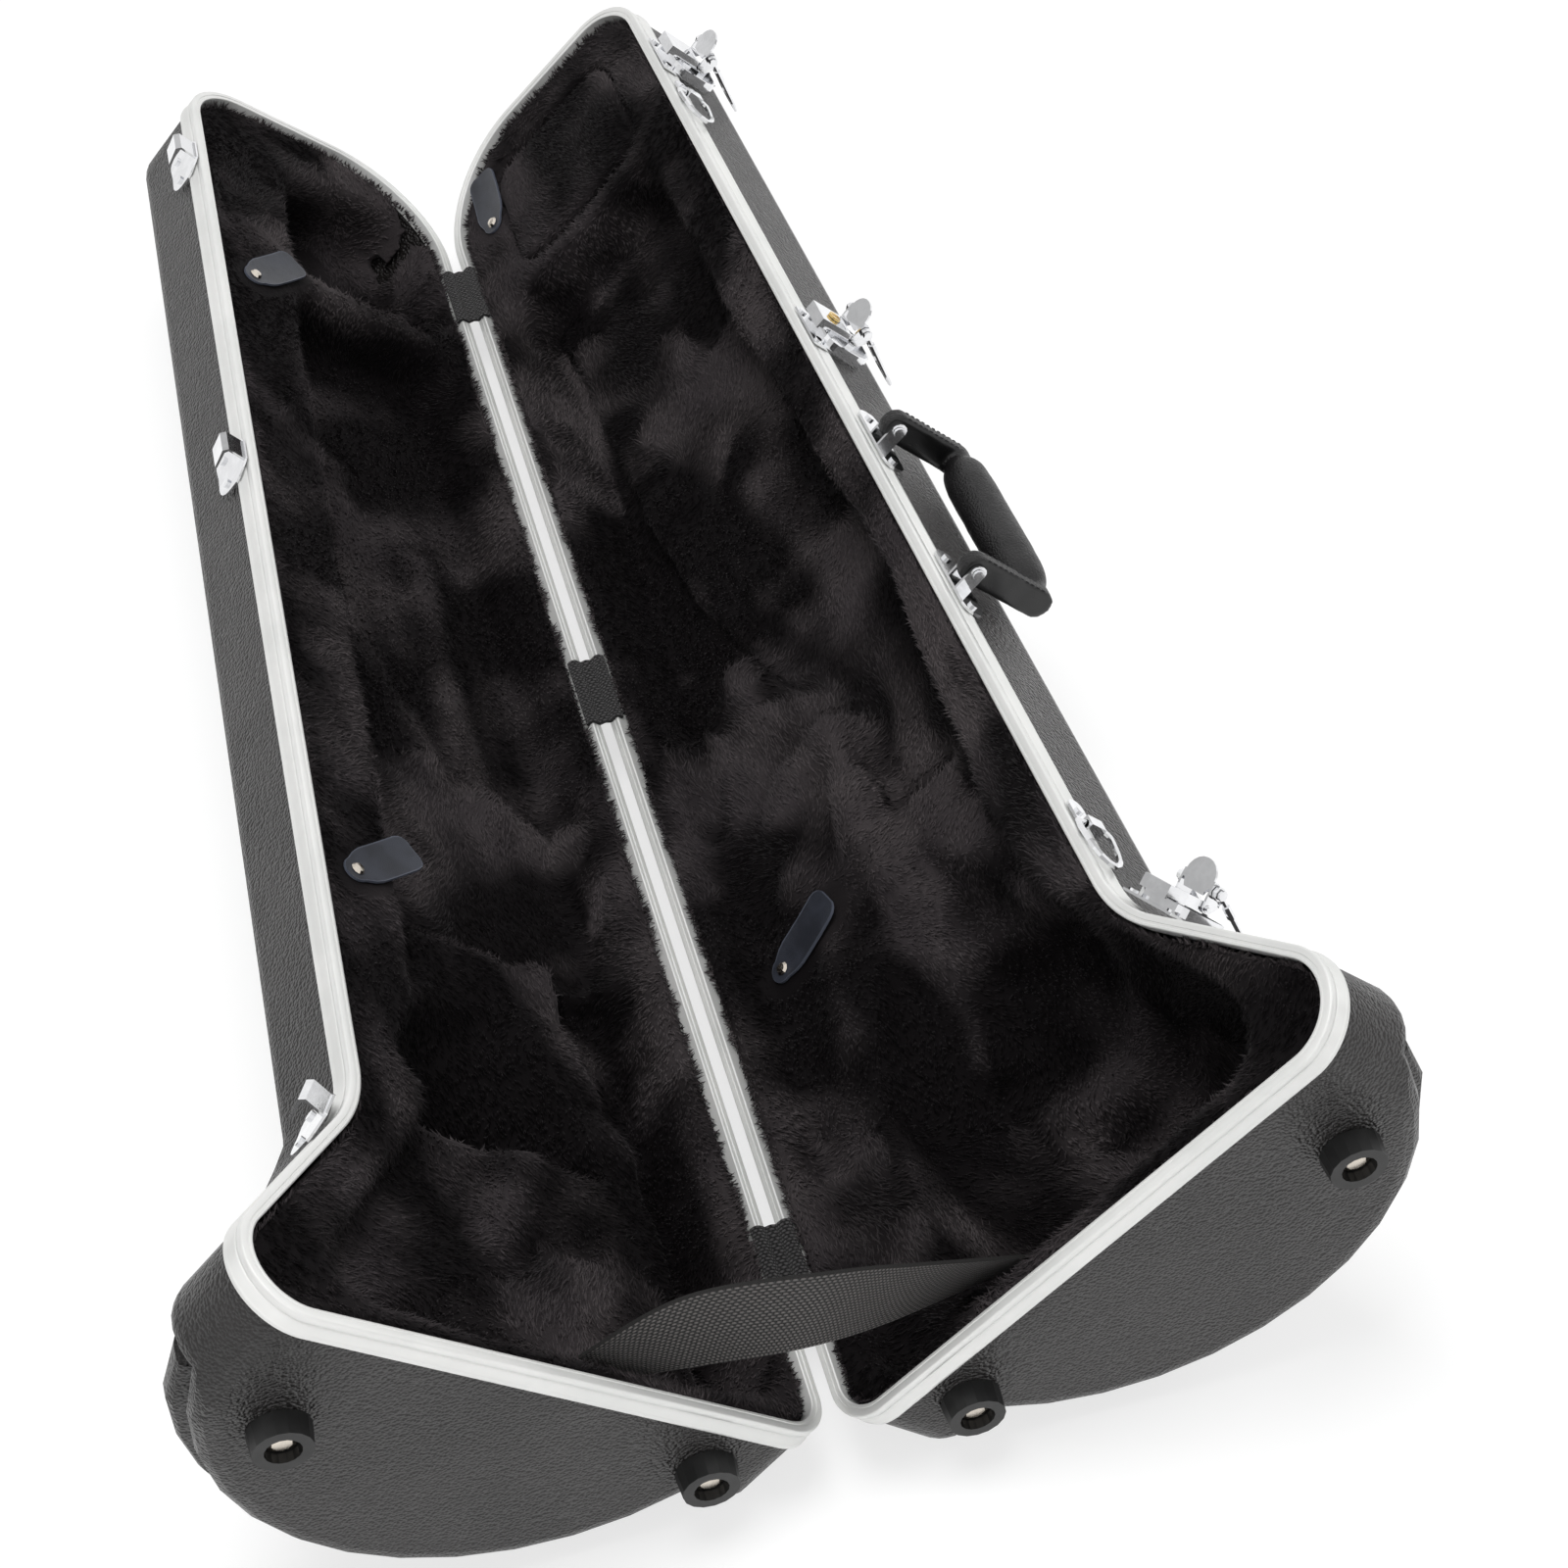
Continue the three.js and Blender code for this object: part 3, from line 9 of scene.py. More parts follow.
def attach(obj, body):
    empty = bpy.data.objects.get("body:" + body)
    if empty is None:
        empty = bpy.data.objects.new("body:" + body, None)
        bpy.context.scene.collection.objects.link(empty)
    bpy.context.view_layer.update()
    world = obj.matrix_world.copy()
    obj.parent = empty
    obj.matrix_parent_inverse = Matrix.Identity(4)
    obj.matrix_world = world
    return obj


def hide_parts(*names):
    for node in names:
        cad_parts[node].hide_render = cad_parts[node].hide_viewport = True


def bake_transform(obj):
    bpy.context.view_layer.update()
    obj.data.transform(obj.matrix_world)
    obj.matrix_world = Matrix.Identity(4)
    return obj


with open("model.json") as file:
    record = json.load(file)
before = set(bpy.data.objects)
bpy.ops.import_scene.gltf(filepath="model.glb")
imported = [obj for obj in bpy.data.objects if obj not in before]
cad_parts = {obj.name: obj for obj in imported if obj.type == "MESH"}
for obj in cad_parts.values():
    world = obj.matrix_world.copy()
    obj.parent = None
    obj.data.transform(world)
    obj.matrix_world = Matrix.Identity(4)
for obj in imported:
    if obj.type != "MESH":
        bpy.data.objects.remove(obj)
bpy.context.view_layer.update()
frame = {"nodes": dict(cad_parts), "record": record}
nodes = frame["nodes"]

# Places on a half: along the hinge, out across the rim, deep into the half, in mm. Side is 1 left, -1 right
halfFrame = {"opening": math.radians(46.57), "origin": (-465.4085, 0.0, 36.0782)}
halves = ((-1, "right"), (1, "left"))
mm = 0.001


def onHalf(side, along, out, deep):
    sine, cosine = math.sin(halfFrame["opening"]), math.cos(halfFrame["opening"])
    ox, oy, oz = halfFrame["origin"]
    y = side * (out * sine + deep * cosine)
    return Vector((along + ox, y + oy, out * cosine - deep * sine + oz)) * mm


def readHalf(side, points):  # the way back: along, out and deep in mm for rows of points of the model
    sine, cosine = math.sin(halfFrame["opening"]), math.cos(halfFrame["opening"])
    local = points / mm - np.array(halfFrame["origin"])
    across = local[:, 1] * side
    out = across * sine + local[:, 2] * cosine
    deep = across * cosine - local[:, 2] * sine
    return np.stack([local[:, 0], out, deep], axis=1)


def placeHalf(side, rows):  # onHalf for rows of along, out and deep
    sine, cosine = math.sin(halfFrame["opening"]), math.cos(halfFrame["opening"])
    across = side * (rows[:, 1] * sine + rows[:, 2] * cosine)
    up = rows[:, 1] * cosine - rows[:, 2] * sine
    return (np.stack([rows[:, 0], across, up], axis=1) + np.array(halfFrame["origin"])) * mm


def readPoints(obj, what="co"):
    rows = np.empty(len(obj.data.vertices) * 3)
    obj.data.vertices.foreach_get(what, rows)
    return rows.reshape(-1, 3)


def writePoints(obj, rows):
    obj.data.vertices.foreach_set("co", rows.ravel())
    obj.data.update()


def pickOnly(obj):
    bpy.ops.object.select_all(action="DESELECT")
    obj.select_set(True)
    bpy.context.view_layer.objects.active = obj


def applyAll(obj):
    pickOnly(obj)
    for modifier in list(obj.modifiers):
        bpy.ops.object.modifier_apply(modifier=modifier.name)


def faceOutward(obj, merged=0.0):  # and corners nearer than merged become one
    pickOnly(obj)
    bpy.ops.object.mode_set(mode="EDIT")
    bpy.ops.mesh.select_all(action="SELECT")
    if merged:
        bpy.ops.mesh.remove_doubles(threshold=merged)
    bpy.ops.mesh.normals_make_consistent(inside=False)
    bpy.ops.object.mode_set(mode="OBJECT")


def shadeByAngle(obj, degrees):
    pickOnly(obj)
    bpy.ops.object.shade_smooth_by_angle(angle=math.radians(degrees))


def intoScene(obj):
    bpy.context.scene.collection.objects.link(obj)
    return obj


def copyOfNode(nodeName, name):
    obj = nodes[nodeName].copy()
    obj.data = nodes[nodeName].data.copy()
    obj.parent = None
    for key in list(obj.keys()):
        del obj[key]
    obj.name = obj.data.name = name
    intoScene(obj)
    obj.data.materials.clear()
    faceOutward(obj, merged=0.00001)
    return obj


def softCopy(nodeName, name, form):  # the solid in even small faces, its edges rounded off
    obj = copyOfNode(nodeName, name)
    remesh = obj.modifiers.new("Remesh", "REMESH")
    remesh.mode = "VOXEL"
    remesh.voxel_size = form["voxel"]
    soften = obj.modifiers.new("Soften", "SMOOTH")
    soften.factor = 0.5
    soften.iterations = form["smooth"]
    applyAll(obj)
    return obj


def give(obj, material):
    obj.data.materials.clear()
    obj.data.materials.append(material)


def startGroup(name, inputs, outputs):
    group = bpy.data.node_groups.new(name, "ShaderNodeTree")
    for socketName, kind in inputs:
        group.interface.new_socket(name=socketName, in_out="INPUT", socket_type=f"NodeSocket{kind}")
    for socketName, kind in outputs:
        group.interface.new_socket(name=socketName, in_out="OUTPUT", socket_type=f"NodeSocket{kind}")
    return group, group.nodes.new("NodeGroupInput"), group.nodes.new("NodeGroupOutput")


def newNode(tree, kind):
    return tree.nodes.new(f"ShaderNode{kind}")


def feed(tree, socket, value):  # a number, a colour or another node's output
    if isinstance(value, (int, float)):
        socket.default_value = value
    elif isinstance(value, (tuple, list)):
        socket.default_value = (*value[:3], 1)
    else:
        tree.links.new(value, socket)


def mathNode(tree, operation, first, second=None, clamp=False):
    node = newNode(tree, "Math")
    node.operation = operation
    node.use_clamp = clamp
    feed(tree, node.inputs[0], first)
    if second is not None:
        feed(tree, node.inputs[1], second)
    return node.outputs[0]


def noiseNode(tree, vector, scale, detail=2.0, roughness=0.5, distortion=0.0):
    node = newNode(tree, "TexNoise")
    tree.links.new(vector, node.inputs["Vector"])
    settings = {"Scale": scale, "Detail": detail, "Roughness": roughness, "Distortion": distortion}
    for socketName, value in settings.items():
        feed(tree, node.inputs[socketName], value)
    return node.outputs["Fac"]


def rampNode(tree, value, low, high, start=0.0, end=1.0):
    node = newNode(tree, "MapRange")
    node.interpolation_type = "SMOOTHSTEP"
    tree.links.new(value, node.inputs["Value"])
    for socketName, limit in (("From Min", low), ("From Max", high), ("To Min", start), ("To Max", end)):
        feed(tree, node.inputs[socketName], limit)
    return node.outputs["Result"]


def mixColours(tree, share, first, second):
    node = newNode(tree, "Mix")
    node.data_type = "RGBA"
    for index, value in ((0, share), (6, first), (7, second)):
        feed(tree, node.inputs[index], value)
    return node.outputs[2]


def pebbleGroup():  # small raised pebbles with wrinkles between, as on moulded plastic and leather
    group, source, result = startGroup("pebbleGrain", [
        ("Vector", "Vector"), ("Scale", "Float"), ("Wrinkle", "Float"),
    ], [("Height", "Float")])
    bent = noiseNode(group, source.outputs["Vector"], source.outputs["Scale"], 1.5)
    cells = newNode(group, "TexVoronoi")
    cells.feature = "SMOOTH_F1"
    cells.inputs["Smoothness"].default_value = 0.35
    group.links.new(source.outputs["Vector"], cells.inputs["Vector"])
    group.links.new(source.outputs["Scale"], cells.inputs["Scale"])
    mound = mathNode(group, "SUBTRACT", 1.0, cells.outputs["Distance"])
    wrinkle = mathNode(group, "MULTIPLY", bent, source.outputs["Wrinkle"])
    group.links.new(mathNode(group, "ADD", mound, wrinkle), result.inputs["Height"])
    return group


def driftGroup():  # a slow change between two colours, as of dust, handling and pile direction
    group, source, result = startGroup("colourDrift", [
        ("Vector", "Vector"), ("Scale", "Float"), ("Low", "Float"), ("High", "Float"),
        ("Dark", "Color"), ("Light", "Color"),
    ], [("Color", "Color")])
    cloud = noiseNode(group, source.outputs["Vector"], source.outputs["Scale"], 4.0, 0.6, 0.3)
    spread = rampNode(group, cloud, source.outputs["Low"], source.outputs["High"])
    mixed = mixColours(group, spread, source.outputs["Dark"], source.outputs["Light"])
    group.links.new(mixed, result.inputs["Color"])
    return group


def wearGroup():  # fine scuffs: thin scratches and rubbed spots that change the roughness
    group, source, result = startGroup("fineWear", [
        ("Vector", "Vector"), ("Scale", "Float"), ("Base", "Float"), ("Amount", "Float"),
    ], [("Roughness", "Float")])
    spots = noiseNode(group, source.outputs["Vector"], source.outputs["Scale"], 5.0, 0.65, 0.0)
    centred = mathNode(group, "SUBTRACT", spots, 0.5)
    scaled = mathNode(group, "MULTIPLY", centred, source.outputs["Amount"])
    rough = mathNode(group, "ADD", scaled, source.outputs["Base"], clamp=True)
    group.links.new(rough, result.inputs["Roughness"])
    return group


pebbleGrain = pebbleGroup()
colourDrift = driftGroup()
fineWear = wearGroup()


def placeGroup(tree, group, values):
    node = newNode(tree, "Group")
    node.node_tree = group
    for socketName, value in values.items():
        feed(tree, node.inputs[socketName], value)
    return node


def startMaterial(name, **settings):
    material = bpy.data.materials.new(name)
    material.use_nodes = True
    tree = material.node_tree
    shader = tree.nodes["Principled BSDF"]
    for key, value in settings.items():
        feed(tree, shader.inputs[key.replace("_", " ")], value)
    place = newNode(tree, "TexCoord")
    return material, tree, shader, place


def bumpInto(tree, shader, height, strength, distance):
    bump = newNode(tree, "Bump")
    bump.inputs["Strength"].default_value = strength
    bump.inputs["Distance"].default_value = distance
    tree.links.new(height, bump.inputs["Height"])
    tree.links.new(bump.outputs["Normal"], shader.inputs["Normal"])


def placeWear(tree, shader, where, look):
    wear = placeGroup(tree, fineWear, {
        "Vector": where, "Scale": look["wear"], "Base": look["roughness"], "Amount": look["uneven"]})
    tree.links.new(wear.outputs["Roughness"], shader.inputs["Roughness"])


def coatedMaterial(name, look, **settings):  # a colour that drifts, and a worn gloss
    material, tree, shader, place = startMaterial(name, **settings)
    where = place.outputs["Object"]
    drift = placeGroup(tree, colourDrift, {
        "Vector": where, "Scale": look["drift"], "Low": 0.35, "High": 0.65, "Dark": look["dark"],
        "Light": look["light"]})
    tree.links.new(drift.outputs["Color"], shader.inputs["Base Color"])
    placeWear(tree, shader, where, look)
    return material, tree, shader, place


def pebbledMaterial(name, look, strength):
    material, tree, shader, place = coatedMaterial(name, look, Specular_IOR_Level=0.5)
    pebble = placeGroup(tree, pebbleGrain, {
        "Vector": place.outputs["Object"], "Scale": look["pebble"], "Wrinkle": look["wrinkle"]})
    bumpInto(tree, shader, pebble.outputs["Height"], strength, look["height"])
    return material, tree, shader, place


def grainedMaterial(name, look, **settings):
    material, tree, shader, place = coatedMaterial(name, look, **settings)
    grain = noiseNode(tree, place.outputs["Object"], look["grain"], look["detail"])
    bumpInto(tree, shader, grain, look["strength"], look["height"])
    return material


# In each look, drift, wear, pebble and grain are repeats in a metre, and height is in metres
shellLook = {"dark": (0.009, 0.0078, 0.0076), "light": (0.018, 0.016, 0.0158), "drift": 9.0, "wear": 45.0,
             "roughness": 0.33, "uneven": 0.16, "pebble": 600.0, "wrinkle": 0.35, "height": 0.0013}
rimLook = {"light": (0.8, 0.8, 0.785), "dark": (0.73, 0.735, 0.72), "drift": 14.0, "wear": 160.0,
           "roughness": 0.34, "uneven": 0.14, "metal": 0.45, "brushed": (6.0, 900.0, 900.0),
           "strength": 0.08, "height": 0.0002}


def rimMaterial():
    material, tree, shader, place = coatedMaterial("satinAluminium", rimLook, Metallic=rimLook["metal"])
    stretch = newNode(tree, "Mapping")
    stretch.inputs["Scale"].default_value = rimLook["brushed"]
    tree.links.new(place.outputs["Object"], stretch.inputs["Vector"])
    lines = noiseNode(tree, stretch.outputs["Vector"], 1.0, 2.0)
    bumpInto(tree, shader, lines, rimLook["strength"], rimLook["height"])
    return material


plateLook = {"shade": 0.9, "drift": 90.0, "wear": 380.0, "uneven": 0.1, "grain": 700.0, "detail": 2.0,
             "strength": 0.04, "height": 0.0002}


def plateMaterial(name, colour, roughness):
    dark = tuple(channel * plateLook["shade"] for channel in colour)
    look = {**plateLook, "dark": dark, "light": colour, "roughness": roughness}
    return grainedMaterial(name, look, Metallic=1.0)


rubberLook = {"dark": (0.009, 0.009, 0.009), "light": (0.017, 0.017, 0.017), "drift": 60.0, "wear": 260.0,
              "roughness": 0.42, "uneven": 0.2, "grain": 900.0, "detail": 3.0, "strength": 0.12,
              "height": 0.0003}
plushLook = {"root": (0.0028, 0.0022, 0.0025), "tip": (0.088, 0.077, 0.079), "dull": (0.052, 0.045, 0.048),
             "drift": 11.0, "driftFrom": 0.36, "driftTo": 0.66, "hair": 1500.0,
             "hairRange": (0.3, 0.7, 0.6, 1.0), "pileRange": (0.05, 1.0), "clump": 260.0,
             "strength": 0.35, "height": 0.0015}


def plushMaterial():  # the pile attribute is the share of the tip's colour, from 0 at the dark root colour; it carries painted light and shade, with painted shade on the backing between tufts and at each tuft's root
    look = plushLook
    material, tree, shader, place = startMaterial(
        "plushPile", Roughness=0.8, Sheen_Weight=0.06, Sheen_Roughness=0.4, Sheen_Tint=(0.6, 0.56, 0.58),
        Specular_IOR_Level=0.12)
    where = place.outputs["Object"]
    pile = newNode(tree, "Attribute")
    pile.attribute_name = "pile"
    drift = placeGroup(tree, colourDrift, {
        "Vector": where, "Scale": look["drift"], "Low": look["driftFrom"],
        "High": look["driftTo"], "Dark": look["dull"], "Light": look["tip"]})
    hair = rampNode(tree, noiseNode(tree, where, look["hair"], 2.0), *look["hairRange"])
    share = mathNode(tree, "MULTIPLY", rampNode(tree, pile.outputs["Fac"], *look["pileRange"]), hair)
    pileColour = mixColours(tree, share, look["root"], drift.outputs["Color"])
    tree.links.new(pileColour, shader.inputs["Base Color"])
    clump = noiseNode(tree, where, look["clump"], 3.0, 0.6, 0.5)
    bumpInto(tree, shader, clump, look["strength"], look["height"])
    return material


# gap is the painted shade between threads, as a share of the thread's colour
weaveLook = {"gap": 0.05, "gapRange": (0.3, 0.85), "wear": 700.0, "roughness": 0.6, "uneven": 0.2,
             "fibre": 2600.0, "fibreShare": 0.25, "height": 0.001}


def weaveMaterial(name, across, along, colour):  # rows of threads, each column half a thread further on, with painted shade in the gaps between them
    material, tree, shader, place = startMaterial(name, Sheen_Weight=0.1, Specular_IOR_Level=0.3)
    where = place.outputs["Object"]
    stretch = newNode(tree, "Mapping")
    stretch.inputs["Scale"].default_value = (across, along, 1.0)
    tree.links.new(place.outputs["UV"], stretch.inputs["Vector"])
    split = newNode(tree, "SeparateXYZ")
    tree.links.new(stretch.outputs["Vector"], split.inputs[0])
    column = mathNode(tree, "FLOOR", split.outputs["X"])
    shifted = mathNode(tree, "ADD", split.outputs["Y"], mathNode(tree, "MULTIPLY", column, 0.5))
    waves = []
    for run in (shifted, split.outputs["X"]):
        turned = mathNode(tree, "SINE", mathNode(tree, "MULTIPLY", run, math.pi))
        waves.append(mathNode(tree, "ABSOLUTE", turned))
    height = mathNode(tree, "MULTIPLY", *waves)
    # painted shade: the low gaps between threads are darkened almost to black
    gapShadeColour = tuple(channel * weaveLook["gap"] for channel in colour)
    shade = mixColours(tree, rampNode(tree, height, *weaveLook["gapRange"]), gapShadeColour, colour)
    tree.links.new(shade, shader.inputs["Base Color"])
    placeWear(tree, shader, where, weaveLook)
    fibre = noiseNode(tree, where, weaveLook["fibre"], 2.0)
    fibre = mathNode(tree, "MULTIPLY", fibre, weaveLook["fibreShare"])
    bumpInto(tree, shader, mathNode(tree, "ADD", height, fibre), 1.0, weaveLook["height"])
    return material


leatherLook = {"drift": 40.0, "wear": 200.0, "uneven": 0.18, "wrinkle": 0.9, "height": 0.0005}


def leatherMaterial(name, dark, light, roughness, pebble, strength):
    look = {**leatherLook, "dark": dark, "light": light, "roughness": roughness, "pebble": pebble}
    return pebbledMaterial(name, look, strength)[0]


tabLook = {"dark": (0.012, 0.0135, 0.019), "light": (0.024, 0.027, 0.037), "drift": 60.0, "wear": 260.0,
           "roughness": 0.4, "uneven": 0.2, "pebble": 1700.0, "wrinkle": 0.9, "height": 0.0003,
           "cut": (0.09, 0.1, 0.13), "cutShare": 0.75, "cutWidths": {"X": 0.045, "Y": 0.06}}


def tabMaterial():  # dark vinyl whose cut edge is paler: UV runs from 0 to 1 across and along each tab
    material, tree, shader, place = pebbledMaterial("tabVinyl", tabLook, 0.3)
    plain = shader.inputs["Base Color"].links[0].from_socket
    split = newNode(tree, "SeparateXYZ")
    tree.links.new(place.outputs["UV"], split.inputs[0])
    edges = []
    for socketName, width in tabLook["cutWidths"].items():
        fromMiddle = mathNode(tree, "ABSOLUTE", mathNode(tree, "SUBTRACT", split.outputs[socketName], 0.5))
        edges.append(rampNode(tree, fromMiddle, 0.5 - width, 0.5))
    edge = mathNode(tree, "MULTIPLY", mathNode(tree, "MAXIMUM", *edges), tabLook["cutShare"])
    tree.links.new(mixColours(tree, edge, plain, tabLook["cut"]), shader.inputs["Base Color"])
    return material


shellPlastic = pebbledMaterial("shellPlastic", shellLook, 1.0)[0]
satinAluminium = rimMaterial()
polishedChrome = plateMaterial("polishedChrome", (0.88, 0.885, 0.9), 0.09)
warmNickel = plateMaterial("warmNickel", (0.72, 0.66, 0.58), 0.24)
polishedBrass = plateMaterial("polishedBrass", (0.78, 0.56, 0.22), 0.2)
mouldedRubber = grainedMaterial("mouldedRubber", rubberLook, Specular_IOR_Level=0.4)
plushPile = plushMaterial()
strapWeave = weaveMaterial("strapWeave", 24.0, 96.0, (0.135, 0.124, 0.119))
hingeWeave = weaveMaterial("hingeWeave", 26.0, 11.0, (0.055, 0.052, 0.054))
handleLeather = leatherMaterial("handleLeather", (0.0045, 0.0042, 0.0046), (0.009, 0.0085, 0.009),
                                roughness=0.42, pebble=900.0, strength=0.8)
handleTrim = leatherMaterial("handleTrim", (0.004, 0.004, 0.004), (0.007, 0.007, 0.0075),
                             roughness=0.3, pebble=2400.0, strength=0.08)
stitchThread = leatherMaterial("stitchThread", (0.012, 0.012, 0.013), (0.025, 0.025, 0.027),
                               roughness=0.6, pebble=3000.0, strength=0.2)
tabVinyl = tabMaterial()
print("materials ready")

# CAD nodes that keep their shape get their finish
nodeFinishes = {
    "shell": shellPlastic, "rim": satinAluminium, "chrome": polishedChrome, "nickel": warmNickel,
    "brass": polishedBrass, "rubber": mouldedRubber, "leather": handleLeather, "vinyl": tabVinyl,
}
for part in frame["record"]["subparts"]:
    finish = nodeFinishes.get(part["material_slot"])
    if finish:
        mesh = nodes[part["node"]].data
        mesh.materials.clear()
        mesh.materials.append(finish)

print("finishes on", len(nodes), "nodes")

caseOutline = {
    "corners": ((0, 3.1), (945, 3.1), (940.4, 181), (125.5, 233.5), (-4.3, 344.1)),
    "radii": (24, 70, 42, 62, 30), "step": math.radians(3),
}


def roundedOutline(inset):  # points round a half's edge, moved in by inset, as along and out in mm
    corners = [Vector(corner) for corner in caseOutline["corners"]]
    points = []
    for i, corner in enumerate(corners):
        before = (corner - corners[i - 1]).normalized()
        after = (corners[(i + 1) % len(corners)] - corner).normalized()
        turn = math.atan2(before.cross(after), before.dot(after))
        inward = Vector((-before.y - after.y, before.x + after.x)).normalized()
        tip = corner + inward * inset / math.cos(turn / 2)
        radius = caseOutline["radii"][i] + (inset if turn < 0 else -inset)
        start = tip - before * radius * math.tan(abs(turn) / 2)
        side = 1 if turn > 0 else -1
        centre = start + Vector((-before.y, before.x)) * side * radius
        steps = math.ceil(abs(turn) / caseOutline["step"])
        for k in range(steps + 1):
            arm = start - centre
            arm.rotate(Matrix.Rotation(turn * k / steps, 2))
            points.append(centre + arm)
    return points


def sweptRing(name, rings):  # a closed rail: one ring of points for each corner of its section
    count = len(rings[0])
    bpy.ops.mesh.primitive_circle_add(vertices=count, radius=1)
    obj = bpy.context.active_object
    obj.name = obj.data.name = name
    bpy.ops.object.mode_set(mode="EDIT")
    bpy.ops.mesh.select_all(action="SELECT")
    for _ in rings[1:]:
        bpy.ops.mesh.extrude_edges_move(TRANSFORM_OT_translate={"value": (0, 0, 1)})
    bpy.ops.mesh.select_all(action="DESELECT")
    bpy.ops.mesh.select_non_manifold()
    bpy.ops.mesh.bridge_edge_loops()
    bpy.ops.object.mode_set(mode="OBJECT")
    for vertex in obj.data.vertices:  # its height tells its ring, its angle its place there
        place = round(math.atan2(vertex.co.y, vertex.co.x) / math.tau * count) % count
        vertex.co = rings[round(vertex.co.z)][place]
    faceOutward(obj)
    return obj


# Rims: the extrusion's section as inset from the edge and depth, with a groove and a bead beside the lining
rimForm = {
    "section": ((0, 1.0), (0.25, 0.4), (0.9, 0.15), (3.1, 0.15), (3.3, 0.5), (4.3, 0.5), (4.5, 0.18),
                (5.0, 0.15), (5.6, 0.2), (5.93, 0.5), (6.0, 1.0), (6.0, 8), (4.8, 8), (4.8, 1.35),
                (1.2, 1.35), (1.2, 12.1), (-0.45, 12.1), (-0.6, 11.9), (-0.6, 10.5), (-0.4, 10.1), (0, 9.6),
                (0, 5.1), (0.35, 4.75), (0.6, 4.4), (0.35, 4.05), (0, 3.7)),
    "smooth": 50,
}
for side, half in halves:
    rings = [[onHalf(side, point.x, point.y, deep) for point in roundedOutline(inset)]
             for inset, deep in rimForm["section"]]
    rail = sweptRing(f"{half}RimRail", rings)
    shadeByAngle(rail, rimForm["smooth"])
    give(rail, satinAluminium)
    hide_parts(f"{half}_rim")
    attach(rail, f"{half}_half")
print("rims ready")

# Shells: the solids, merged and shaded as one moulded skin
for side, half in halves:
    skin = copyOfNode(f"{half}_shell", f"{half}ShellSkin")
    shadeByAngle(skin, 36)
    even = skin.modifiers.new("Even", "WEIGHTED_NORMAL")  # long thin faces would shade as creases
    even.keep_sharp = True
    applyAll(skin)
    give(skin, shellPlastic)
    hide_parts(f"{half}_shell")
    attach(skin, f"{half}_half")
print("shell skins ready")

# Linings: the solid's form, softened, its edge raised to the rim, with tufts of pile on the sides that show
# Depths and distances are in mm, the cloth's and the pile's own sizes in metres
liningForm = {"voxel": 0.004, "smooth": 8, "lump": 0.0022, "lumpSize": 15.0, "skin": 0.0045, "skinEase": 2.2,
              "edgeLift": 3.4, "edgeReach": 1.15, "edgeRoll": 2.6, "edgeWidth": (12.5, 19.0),
              "edgeDepth": (12.0, 20.0), "rollDepth": 5.0, "edgeShown": (9, 0.001), "besideTab": (14, 26)}
pileForm = {"area": 3.6e-6, "length": 0.0056, "width": 0.00135, "height": 0.5, "sunk": 0.0006,
            "rise": 0.38, "sweep": 0.95, "stray": 0.26, "seed": 11, "laySeed": 1795873980,
            "swirl": 6.0, "curl": (5, 0.45), "grain": (-0.12, 0.0, -0.1),
            "lengths": (0.65, 1.2), "widths": (0.7, 1.3), "tips": (0.7, 1), "shares": (0.72, 0.72, 0.85, 1),
            "besideTab": (12, 17), "pressedRise": 0.3, "pressedWidth": 0.4, "leastRise": 0.12, "lifted": 0.4}
# How light the pile shows, painted into its colour: painted sheen from its lay towards a fixed way, slow
# random patches, painted light on folds that stand up and painted shade in the troughs beside them, painted
# shade in the hollows and painted light on the edge beside the rim
toneAndPaintedLightForm = {"plain": 0.5, "paintedLaySheen": 0.42, "way": (0.5, -0.6, 0.62), "patch": 1.3, "patchSize": 13.0,
            "spot": (2.7, 0.5), "paintedFoldLightAndShade": 0.5, "foldHeight": 0.005, "deep": 0.22, "hollow": (22, 70),
            "edge": 0.22, "edgeDepth": (16, 26), "least": 0.08, "most": 1.25, "shadedBacking": 0.45}
foldForm = {"trough": 0.35, "troughPlace": 1.9, "troughSteep": 2, "depths": (14, 24)}
bakeForm = {"lean": (0.3, 0.45), "start": (60, 30), "size": (1150, 480)}
farAway = 1e9
noise.seed_set(pileForm["laySeed"])  # noise_vector would take its offsets from the clock


def nearestOn(rows, line, closed=False):  # distance from each along, out place to a line, and the way there
    ends = np.array([tuple(point) for point in line])
    starts, ends = (ends, np.roll(ends, -1, axis=0)) if closed else (ends[:-1], ends[1:])
    best = np.full(len(rows), farAway)
    away = np.zeros((len(rows), 2))
    for a, b in zip(starts, ends):
        run = b - a
        t = np.clip(((rows[:, :2] - a) @ run) / max(run @ run, 1e-9), 0, 1)
        gap = a + t[:, None] * run - rows[:, :2]
        size = np.hypot(gap[:, 0], gap[:, 1])
        nearer = size < best
        best[nearer] = size[nearer]
        away[nearer] = gap[nearer] / np.maximum(size[nearer], 1e-6)[:, None]
    return best, away


def ease(values, low, high):
    t = np.clip((values - low) / (high - low), 0, 1)
    return t * t * (3 - 2 * t)


